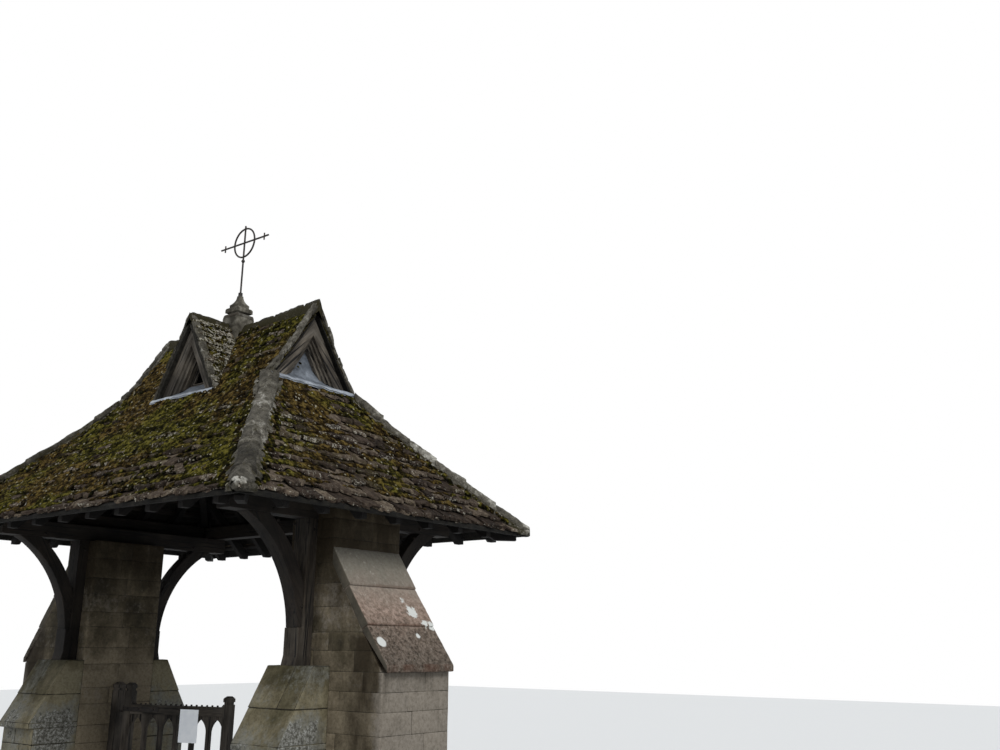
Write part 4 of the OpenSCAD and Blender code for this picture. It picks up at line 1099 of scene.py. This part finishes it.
def darkness(p):  # darkness by place: painted shade under the eaves, stains below drips and near the ground, broken by upright runs
    x, z = np.abs(p[..., 0]), p[..., 2]
    runs = 0.5 + 0.5 * lumps(p * [1, 1, 0.25], 0.16, 3)
    # painted shade: darker up towards the eaves; a little darker near the ground
    dark = 0.75 * eased(z, 1.75, 2.55) + 0.15 * eased(-z, -0.3, 0.0)
    corner = eased(x, 2.16, 2.24) * eased(-x, -2.49, -2.46) * (z < 1.75)
    drip = np.exp(-np.abs(z - 1.40) / 0.10) * (x > 2.3)
    dark = dark + 0.80 * corner * (0.6 + 0.4 * runs) + 0.3 * runs * drip
    return np.clip(dark * (0.75 + 0.25 * runs) + 0.06 * lumps(p, 0.5, 4), 0, 1)


def stones(name, corners, cuts, edge, material, seed, wear=0.003, crust=0.12):
    # Rounded blocks; each point moves along its normal by two sizes of noise, and more at the worn edges
    rng = np.random.default_rng(seed)
    p, n, t, f = blocks(corners, cuts, edge)
    count = len(p)
    q = p + rng.uniform(0, 40, (count, 1, 3))
    corner = np.sort(np.abs(t - 0.5), axis=2)[..., 1] * 2
    broad, fine, edges = (0.5 + 0.5 * lumps(q, size, seed + k) for k, size in enumerate((0.06, 0.02, 0.04)))
    shift = 0.005 - wear * broad - 0.25 * wear * fine - 0.5 * wear * eased(corner, 0.90, 1.0) * edges
    p = p + n * np.maximum(shift, 0.0012)[..., None]
    x, y, z = np.abs(p[..., 0]), np.abs(p[..., 1]), p[..., 2]
    tone = tonesFor(count, p.shape[1], rng)
    paintedLight = eased(-z, -1.75, -1.15) * np.where(np.abs(x - pierIn) < 0.02, 1.8, 0.9)  # painted light: lighter low down, most on the faces to the passage
    tone[..., 0] = 0.5 * tone[..., 0] + paintedLight
    shadedFront = 0.16 * (n[..., 1] < -0.8) * eased(z, 1.3, 1.8)  # painted shade on the upper street faces of the piers
    tone[..., 1] = darkness(p) + shadedFront + 0.08 * rng.random(count)[:, None]
    crust = crust * (0.3 + 0.7 * rng.random(count)[:, None])
    tone[..., 2] = crust + 0.15 * lumps(p, 0.4, seed + 3) + 0.55 * eased(x, 2.47, 2.49)
    if material is plinthStone:  # pale pebbly crust low on the cheeks, olive film on the upper slopes
        cheek = np.abs(n[..., 0]) > 0.8
        pebbles = np.where(cheek, eased(y, 0.38, 0.50), 0.3) * eased(-z, -1.25, -1.0)
        tone[..., 0] = np.where(cheek, tone[..., 0], tone[..., 0] * 0.8 - 0.35 * eased(z, 1.10, 1.20))
        tone[..., 2] = 0.10 + 0.35 * lumps(p, 0.30, seed + 3) + 0.45 * pebbles
    piece = addMesh(name, p, f, material, tones=tone)


angle = math.atan2(gateway["batterTop"] - gateway["batterFoot"], gateway["batterRun"])
noseHeight = gateway["batterFoot"] - gateway["nosing"]
batterOut = pierOut + gateway["batterRun"]
wallOut = batterOut - gateway["drip"]
bedTop = gateway["batterTop"] - gateway["slabThick"] / math.cos(angle)
masonry = {"courses": (0.135, 0.20), "lengths": (0.26, 0.46), "edge": 0.004, "joint": 0.002,
           "quoins": (0.19, 0.31), "capJoint": -0.05}


def outerFace(z):  # outer end of the masonry at height z: wall, bed of the slabs, upper wall
    batter = np.clip(pierOut + (bedTop - z) / math.tan(angle), pierOut, wallOut)
    return float(np.where(z < noseHeight, wallOut, batter))


def pierStones(side, seed):  # coursed stones, two through the thickness, under the slabs and beside them
    rng = np.random.default_rng(seed)
    g = masonry["joint"]
    levels = [0.0]
    for stop, least in ((noseHeight, 0.25), (pierHigh, 0.28)):
        while levels[-1] < stop - least:
            levels.append(levels[-1] + rng.uniform(*masonry["courses"]))
        levels.append(stop)
    corners = []
    for number, (z0, z1) in enumerate(zip(levels[:-1], levels[1:])):
        outer = outerFace(z0 + 0.001), outerFace(z1 - 0.001)
        cuts = [pierIn, pierIn + masonry["quoins"][number % 2] + rng.uniform(-0.03, 0.03)]
        while cuts[-1] + masonry["lengths"][1] + 0.12 < min(outer):
            cuts.append(cuts[-1] + rng.uniform(*masonry["lengths"]))
        cuts.append(None)
        middle = rng.uniform(-0.12, 0.12)
        bottom, top = (z0 if number == 0 else z0 + g), (z1 if z1 == pierHigh else z1 - g)
        for a, b in zip(cuts[:-1], cuts[1:]):
            low, high = outer if b is None else (b - g, b - g)
            near = a + (g if a > pierIn else 0)
            for ends in ((-pierHalf, middle - g), (middle + g, pierHalf)):
                corners.append(prism(1, ends, ((near, bottom), (low, bottom)), ((near, top), (high, top))))
    low = [(x, pierHigh + g) for x in (gateway["plateOut"], pierOut)]
    high = [(x, gateway["beamHigh"]) for x in (gateway["plateOut"], pierOut)]
    for ends in ((-pierHalf, masonry["capJoint"]), (masonry["capJoint"] + 2 * g, pierHalf)):
        corners.append(prism(1, ends, low, high))
    corners = mirrored(corners, 1 if side == "right" else -1)
    stones(side + "_pier_stones", corners, (6, 6, 5), masonry["edge"], ashlar, seed)


pierStones("right", 81)
pierStones("left", 82)

slabs = {"count": 3, "down": 0.012, "gap": 0.003, "edge": 0.006, "proud": 0.004, "wear": 0.003, "chip": 0.006}


def slabCorners():  # the slabs of a weathering, each lapped by the one above
    def point(a, n):
        x = pierOut + a * math.cos(angle) + n * math.sin(angle)
        return x, gateway["batterTop"] - a * math.sin(angle) + n * math.cos(angle)
    length = math.hypot(gateway["batterTop"] - gateway["batterFoot"], gateway["batterRun"]) / slabs["count"]
    corners = []
    for i in range(slabs["count"]):
        end = (i + 1) * length - slabs["gap"]
        low = [point(i * length, -gateway["slabThick"]), point(end, -gateway["slabThick"])]
        high = [point(i * length, -slabs["down"]), point(end, 0.0)]
        if i == 0:
            low[0], high[0] = (pierOut, bedTop), point(0, 0)
        if i == slabs["count"] - 1:
            low[1], high[1] = (batterOut, noseHeight), (batterOut, gateway["batterFoot"])
        corners.append(prism(1, (-pierHalf, pierHalf), low, high))
    return corners


def laySlabs(side, seed):  # rounded blocks worn by noise, chipped and rust-brown along the drips
    p, n, t, f = blocks(mirrored(slabCorners(), 1 if side == "right" else -1), (20, 36, 5), slabs["edge"])
    wear = slabs["wear"] * (0.5 + 0.5 * lumps(p, 0.07, seed))
    wear = wear + 0.5 * slabs["wear"] * lumps(p, 0.025, seed + 1)
    down = t[..., 0] if side == "right" else 1 - t[..., 0]
    chips = eased(down, 0.93, 1.0) * eased(lumps(p, 0.10, seed + 2), 0.25, 0.8)
    p = p + n * (np.maximum(slabs["proud"] - wear, 0.001) - slabs["chip"] * chips)[..., None]
    tone = tonesFor(len(p), p.shape[1], np.random.default_rng(seed))
    tone[..., 1] = eased(down, 0.90, 0.985) * (0.55 + 0.35 * lumps(p, 0.06, seed + 3))
    # painted shade on the side faces
    tone[..., 2] = np.abs(n[..., 1]) > 0.8
    piece = addMesh(side + "_weathering_slabs", p, f, slabStone, tones=tone)
    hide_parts(side + "_weathering")


laySlabs("right", 91)
laySlabs("left", 92)

plinth = {"split": 0.55, "first": 0.30, "courses": (0.15, 0.23), "least": 0.09, "quoins": (0.32, 0.19),
          "edge": 0.007, "wear": 0.0035, "crust": 0.55}


def plinthStones(side, end, seed):  # coursed stones below a nosing, one sloping stone and two more above it
    rng = np.random.default_rng(seed)
    g = masonry["joint"]
    inner, ledge = pierHalf + g, pierHalf + gateway["plinthLedge"]
    foot, high, run = gateway["plinthFoot"], gateway["plinthHigh"], gateway["plinthRun"]
    out, split, splitY = ledge + run, high - (high - foot) * plinth["split"], ledge + run * plinth["split"]
    x0, x1 = pierIn, pierIn + gateway["plinthWide"]
    noseZ, faceY = foot - gateway["nosing"], out - gateway["drip"]
    corners = []

    def stone(ends, lowY, lowZ, highY, highZ):  # from the pier out to lowY at the bottom and highY at the top
        corners.append(prism(0, ends, ((inner, lowZ), (lowY, lowZ)), ((inner, highZ), (highY, highZ))))

    cut = x0 + plinth["first"] + rng.uniform(-0.03, 0.03)
    for ends in ((x0, cut - g), (cut + g, x1)):
        stone(ends, splitY, split + g, ledge, high)
    stone((x0, x1), out, foot, splitY - 0.006, split - g)
    stone((x0, x1), out, noseZ, out, foot)
    z, number = 0.0, 0
    while z < noseZ - 0.02:
        z1 = min(z + rng.uniform(*plinth["courses"]), noseZ)
        z1 = noseZ if noseZ - z1 < plinth["least"] else z1
        cut = x0 + plinth["quoins"][number % 2] + rng.uniform(-0.02, 0.02)
        for ends in ((x0, cut - g), (cut + g, x1)):
            stone(ends, faceY, z + (g if z > 0 else 0), faceY, z1 - g)
        z = z1
        number += 1
    corners = mirrored(corners, 1 if side == "right" else -1, 1 if end == "back" else -1)
    name = side + "_" + end + "_plinth_stones"
    stones(name, corners, (10, 10, 8), plinth["edge"], plinthStone, seed, plinth["wear"], plinth["crust"])


ends = (("right", "front"), ("left", "front"), ("right", "back"), ("left", "back"))
for seed, (side, end) in enumerate(ends, 101):
    plinthStones(side, end, seed)

finial = {"half": 0.1075, "foot": 4.795, "high": 0.034, "draw": 0.92, "edge": 0.006}
across = (-finial["half"], finial["half"])
low, high = ([(x, z) for x in across] for z in (finial["foot"], finial["foot"] + finial["high"]))
collar = prism(1, across, low, high)
collar[:, :, 1, :2] *= finial["draw"]
stones("finial_collar", collar[None], (10, 10, 4), finial["edge"], finialStone, 96, crust=0.3)
print("masonry laid")


# timbers

def onLeaf(side, p):  # a leaf's own points (along, across, up) turned about its hinge
    a = math.radians(gates[side + "Angle"])
    x = -gates["hinge"] + p[..., 0] * math.cos(a) - p[..., 1] * math.sin(a)
    y = p[..., 0] * math.sin(a) + p[..., 1] * math.cos(a)
    return np.stack([x if side == "left" else -x, y, p[..., 2]], -1)


grainStep = 3.7  # metres of grain from one stick of a leaf to the next


def leafAxis(side):  # where a leaf's hinge line meets the floor, and the way along the leaf
    start, ahead = onLeaf(side, np.array([[0.0, 0, 0], [1.0, 0, 0]]))
    return start, ahead - start


def leafGrain(mesh, p, side):
    # Grain at the corners of a leaf's faces: along the rails between the stiles, upright in stiles and bars
    start, ahead = leafAxis(side)
    q = np.stack([(p - start) @ ahead, (p - start) @ np.cross([0, 0, 1.0], ahead), p[:, 2]], -1)
    corner = np.empty(len(mesh.loops), np.int32)
    mesh.loops.foreach_get("vertex_index", corner)
    size = np.empty(len(mesh.polygons), np.int32)
    mesh.polygons.foreach_get("loop_total", size)
    face = np.repeat(np.arange(len(size)), size)
    q = q[corner]
    x, z = (np.bincount(face, q[:, k]) / size for k in (0, 2))
    latch = x > railEnd
    rail = (x > railStart) & ~latch & ((z < gates["barFoot"]) | (z > gates["barTop"]))
    stick = (latch + 2 * rail * (z > gates["high"] / 2) + 5 * rail)[face][:, None]
    return np.where(rail[face][:, None], q[:, [0, 2, 1]], q[:, [2, 0, 1]]) + grainStep * stick


def stickLabels(bm):  # the number of the loose part that each vertex belongs to
    label = np.full(len(bm.verts), -1)
    count = 0
    for v in bm.verts:
        if label[v.index] < 0:
            todo = [v]
            label[v.index] = count
            while todo:
                for e in todo.pop().link_edges:
                    for w in e.verts:
                        if label[w.index] < 0:
                            label[w.index] = count
                            todo.append(w)
            count += 1
    return label, count


def stickGrain(label, count, p, rake, seed):
    # Grain at the points of loose sticks: along the longest way of each, or along the rake for boards
    grain = np.empty_like(p)
    rng = np.random.default_rng(seed)
    for k in range(count):
        own = p[label == k]
        q = own - own.mean(0)
        if rake:
            axis, rise = rake
            across, up, length = np.abs(own[:, axis]), own[:, 2], math.hypot(1, rise)
            q = np.stack([(up * rise - across) / length, (up + across * rise) / length, own[:, 1 - axis]], -1)
        else:
            q = q @ np.linalg.svd(q, full_matrices=False)[2].T
        grain[label == k] = q + rng.uniform(0, 20, 3)
    return grain


def worn(nodeName, material, edge=0.005, body="gateway", seed=1, rake=None, leaf=None):
    # A copy of the solid with its arrises rounded; rake is (axis across the gablet: 0 or 1, its slope)
    bm = bmesh.new()
    bm.from_mesh(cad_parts[nodeName].data)
    bmesh.ops.remove_doubles(bm, verts=bm.verts, dist=0.0004)
    bmesh.ops.dissolve_limit(bm, angle_limit=0.03, verts=bm.verts, edges=bm.edges)
    sharp = [e for e in bm.edges if len(e.link_faces) == 2 and e.calc_face_angle(0) > 0.5]
    bmesh.ops.bevel(bm, geom=sharp, offset=edge, segments=2, profile=0.6, affect="EDGES", clamp_overlap=True)
    bmesh.ops.triangulate(bm, faces=[f for f in bm.faces if len(f.verts) > 4])
    if leaf:  # split where stiles and rails meet, so that each face belongs to one stick
        ahead = leafAxis(leaf)[1]
        splits = [(onLeaf(leaf, np.array([x, 0, 0])), ahead) for x in (railStart, railEnd)]
        splits += [(np.array([0, 0, z]), np.array([0, 0, 1.0])) for z in (gates["barFoot"], gates["barTop"])]
        for spot, normal in splits:
            geom = bm.verts[:] + bm.edges[:] + bm.faces[:]
            bmesh.ops.bisect_plane(bm, geom=geom, dist=0.00002, plane_co=spot, plane_no=normal)
    bmesh.ops.recalc_face_normals(bm, faces=bm.faces)
    mesh = bpy.data.meshes.new(nodeName + "_worn")
    bm.to_mesh(mesh)
    bm.verts.ensure_lookup_table()
    label, count = stickLabels(bm)
    bm.free()
    p = np.empty(len(mesh.vertices) * 3, np.float32)
    mesh.vertices.foreach_get("co", p)
    p = p.reshape(-1, 3).astype(float)
    grain = leafGrain(mesh, p, leaf) if leaf else stickGrain(label, count, p, rake, seed)
    kind = "CORNER" if leaf else "POINT"
    layer = mesh.attributes.new("grain", "FLOAT_VECTOR", kind)
    layer.data.foreach_set("vector", grain.astype(np.float32).ravel())
    piece = bpy.data.objects.new(nodeName + "_worn", mesh)
    bpy.context.collection.objects.link(piece)
    mesh.materials.clear()
    mesh.materials.append(material)
    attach(piece, body)
    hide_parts(nodeName)


for side in ("left", "right"):
    for end in mains:
        # the right posts take the oak with painted light
        worn(side + "_" + end + "_post", darkOak if side == "left" else litOak, seed=len(side + end))
        worn(side + "_" + end + "_brace", darkOak, seed=7 + len(side + end))
    worn(side + "_plate", darkOak, seed=3)
for name in ("front_beam", "back_beam", "side_beams"):
    worn(name, darkOak, seed=5)
# the rafters take the oak with painted shade
for name in ("hip_rafters", "rafters", "ridge_board"):
    worn(name, shadedRafterOak, seed=5)
for name in ("front", "back", "left", "right"):
    rake = (0, crossSlope) if name in mains else (1, slope)
    worn(name + "_gablet", boardOak, edge=0.003, seed=6, rake=rake)
worn("gate_posts", gateOak, edge=0.004, seed=8)
for side in ("left", "right"):
    worn(side + "_gate", gateOak, edge=0.003, body=side + "_leaf", leaf=side)


def pegs(feet, normals, radius, height, sides=8, tip=0.25):
    # Short turned pegs: three rings and a top point, set on each foot along its normal
    feet, normals = np.array(feet), np.array(normals, float)
    a = np.arange(sides) / sides * 2 * math.pi
    side = np.cross(normals, [0.0, 0.0, 1.0])
    side = np.where(np.linalg.norm(side, axis=1)[:, None] < 0.1, [1.0, 0, 0], side)
    side /= np.linalg.norm(side, axis=1)[:, None]
    other = np.cross(normals, side)
    around = np.cos(a)[None, :, None] * side[:, None] + np.sin(a)[None, :, None] * other[:, None]
    rings = [feet[:, None] + radius * r * around + normals[:, None] * height * h
             for r, h in ((1.0, -0.3), (1.0, 0.55), (tip + 0.35, 0.9))]
    p = np.concatenate(rings + [(feet + normals * height)[:, None]], 1)
    return p.reshape(-1, 3), ringFaces(len(feet), sides, 3)


spikes = {"pitch": 0.060, "radius": 0.010, "high": 0.016, "sides": 6, "tip": 0.35}
bolts = {"along": (0.075, 0.20, 0.38), "radius": 0.009, "proud": 0.007}
for side in ("left", "right"):
    x = np.arange(railStart + 0.03, railEnd - 0.02, spikes["pitch"])
    feet = onLeaf(side, np.stack([x, 0 * x, 0 * x + gates["high"]], -1))
    up = np.tile([0.0, 0, 1], (len(x), 1))
    p, faces = pegs(feet, up, spikes["radius"], spikes["high"], spikes["sides"], spikes["tip"])
    piece = addMesh(side + "_gate_spikes", p, faces, gateOak, body=side + "_leaf", grain=p * [0.05, 1, 1])
    ways = np.array([(x, way, z + gates["bandHigh"] / 2)
                     for z in gates["bands"] for x in bolts["along"] for way in (-1, 1)])
    feet = ways * [1, gates["half"] + gates["bandThick"], 1]
    foot = onLeaf(side, feet)
    normals = onLeaf(side, feet + ways * [0, 1, 0]) - foot
    p, faces = pegs(foot, normals, bolts["radius"], bolts["proud"])
    piece = addMesh(side + "_gate_bolts", p, faces, iron, body=side + "_leaf")

# Pegs of the frame: places as (across, up) on brace, post and beam, and half the width of the timber there
framePegs = {"radius": 0.012, "proud": 0.012, "brace": 1.65, "places": (
    (0.43, 2.56, 0.08), (0.49, 2.61, 0.08), (0.47, 1.84, 0.065), (0.50, 1.95, 0.065), (0.80, 2.60, 0.065),
    (0.86, 2.68, 0.08))}
feet, normals = [], []
for sx in (-1, 1):
    for sy in (-1, 1):
        for y, z, half in framePegs["places"]:
            for face in (-1, 1):
                feet.append((sx * framePegs["brace"] + face * half, sy * y, z))
                normals.append((face, 0, 0))
p, faces = pegs(feet, normals, framePegs["radius"], framePegs["proud"])
piece = addMesh("oak_pegs", p, faces, darkOak, grain=p)
print("timbers worn")


# finishes of the solids that stay

finishes = ((joint, ("pier", "weathering", "plinth")), (mortar, ("slope", "cross_slates")),
            (lead, ("lead_aprons",)), (finialStone, ("finial_stone",)), (iron, ("iron_cross", "hinge")),
            (paper, ("notice_sheet",)))
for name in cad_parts:
    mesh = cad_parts[name].data
    for material, words in finishes:
        if any(word in name for word in words):
            if not mesh.materials:
                mesh.materials.append(material)
            for i in range(len(mesh.materials)):
                mesh.materials[i] = material
print("solids finished")


# floor, light and camera

floorMesh = bpy.data.meshes.new("floor")
floorHalf = 30
floorCorners = [(-floorHalf, -floorHalf, 0), (floorHalf, -floorHalf, 0), (floorHalf, floorHalf, 0),
                (-floorHalf, floorHalf, 0)]
floorMesh.from_pydata(floorCorners, [], [(0, 1, 2, 3)])
floor = bpy.data.objects.new("floor", floorMesh)
bpy.context.collection.objects.link(floor)
floorMaterial, tree, _, _ = emptyMaterial("Pale studio floor")
coated(tree, "#d8d8d6", 0.9, [], 0.1)
floorMesh.materials.append(floorMaterial)

sky = {"light": "#e9eef5", "strength": 0.75}
world = bpy.data.worlds.new("studio")
bpy.context.scene.world = world
world.use_nodes = True
tree = world.node_tree
tree.nodes.clear()
paths = add(tree, "ShaderNodeLightPath").outputs
seen = add(tree, mathKind, {0: paths["Is Camera Ray"], 1: paths["Is Glossy Ray"]}, operation="MAXIMUM")
seen = add(tree, mathKind, {0: seen, 1: paths["Is Transmission Ray"]}, operation="MAXIMUM")
soft = add(tree, "ShaderNodeBackground", {"Color": sky["light"], "Strength": sky["strength"]})
white = add(tree, "ShaderNodeBackground", {"Color": (1, 1, 1, 1), "Strength": 1.0})
both = add(tree, "ShaderNodeMixShader", {0: seen, 1: soft, 2: white})
add(tree, "ShaderNodeOutputWorld", {"Surface": both})

# A hazy sun, and the place that the photo was taken from: metres, degrees, and millimetres for the lens
sun = {"strength": 2.2, "spread": 25, "turn": (48, 0, 62)}
view = {"place": (7.832, -6.074, 1.65), "turn": (105.189, -0.477, 36.741), "lens": 36.16, "sensor": 36}
lamp = bpy.data.lights.new("key", "SUN")
lamp.energy = sun["strength"]
lamp.angle = math.radians(sun["spread"])
key = bpy.data.objects.new("key", lamp)
key.rotation_euler = [math.radians(angle) for angle in sun["turn"]]
bpy.context.collection.objects.link(key)

camera = bpy.data.cameras.new("photo")
camera.sensor_width = view["sensor"]
camera.lens = view["lens"]
eye = bpy.data.objects.new("photo", camera)
eye.location = view["place"]
eye.rotation_euler = [math.radians(angle) for angle in view["turn"]]
bpy.context.collection.objects.link(eye)
bpy.context.scene.camera = eye
bpy.context.scene.view_settings.view_transform = "Standard"
print("stage set")
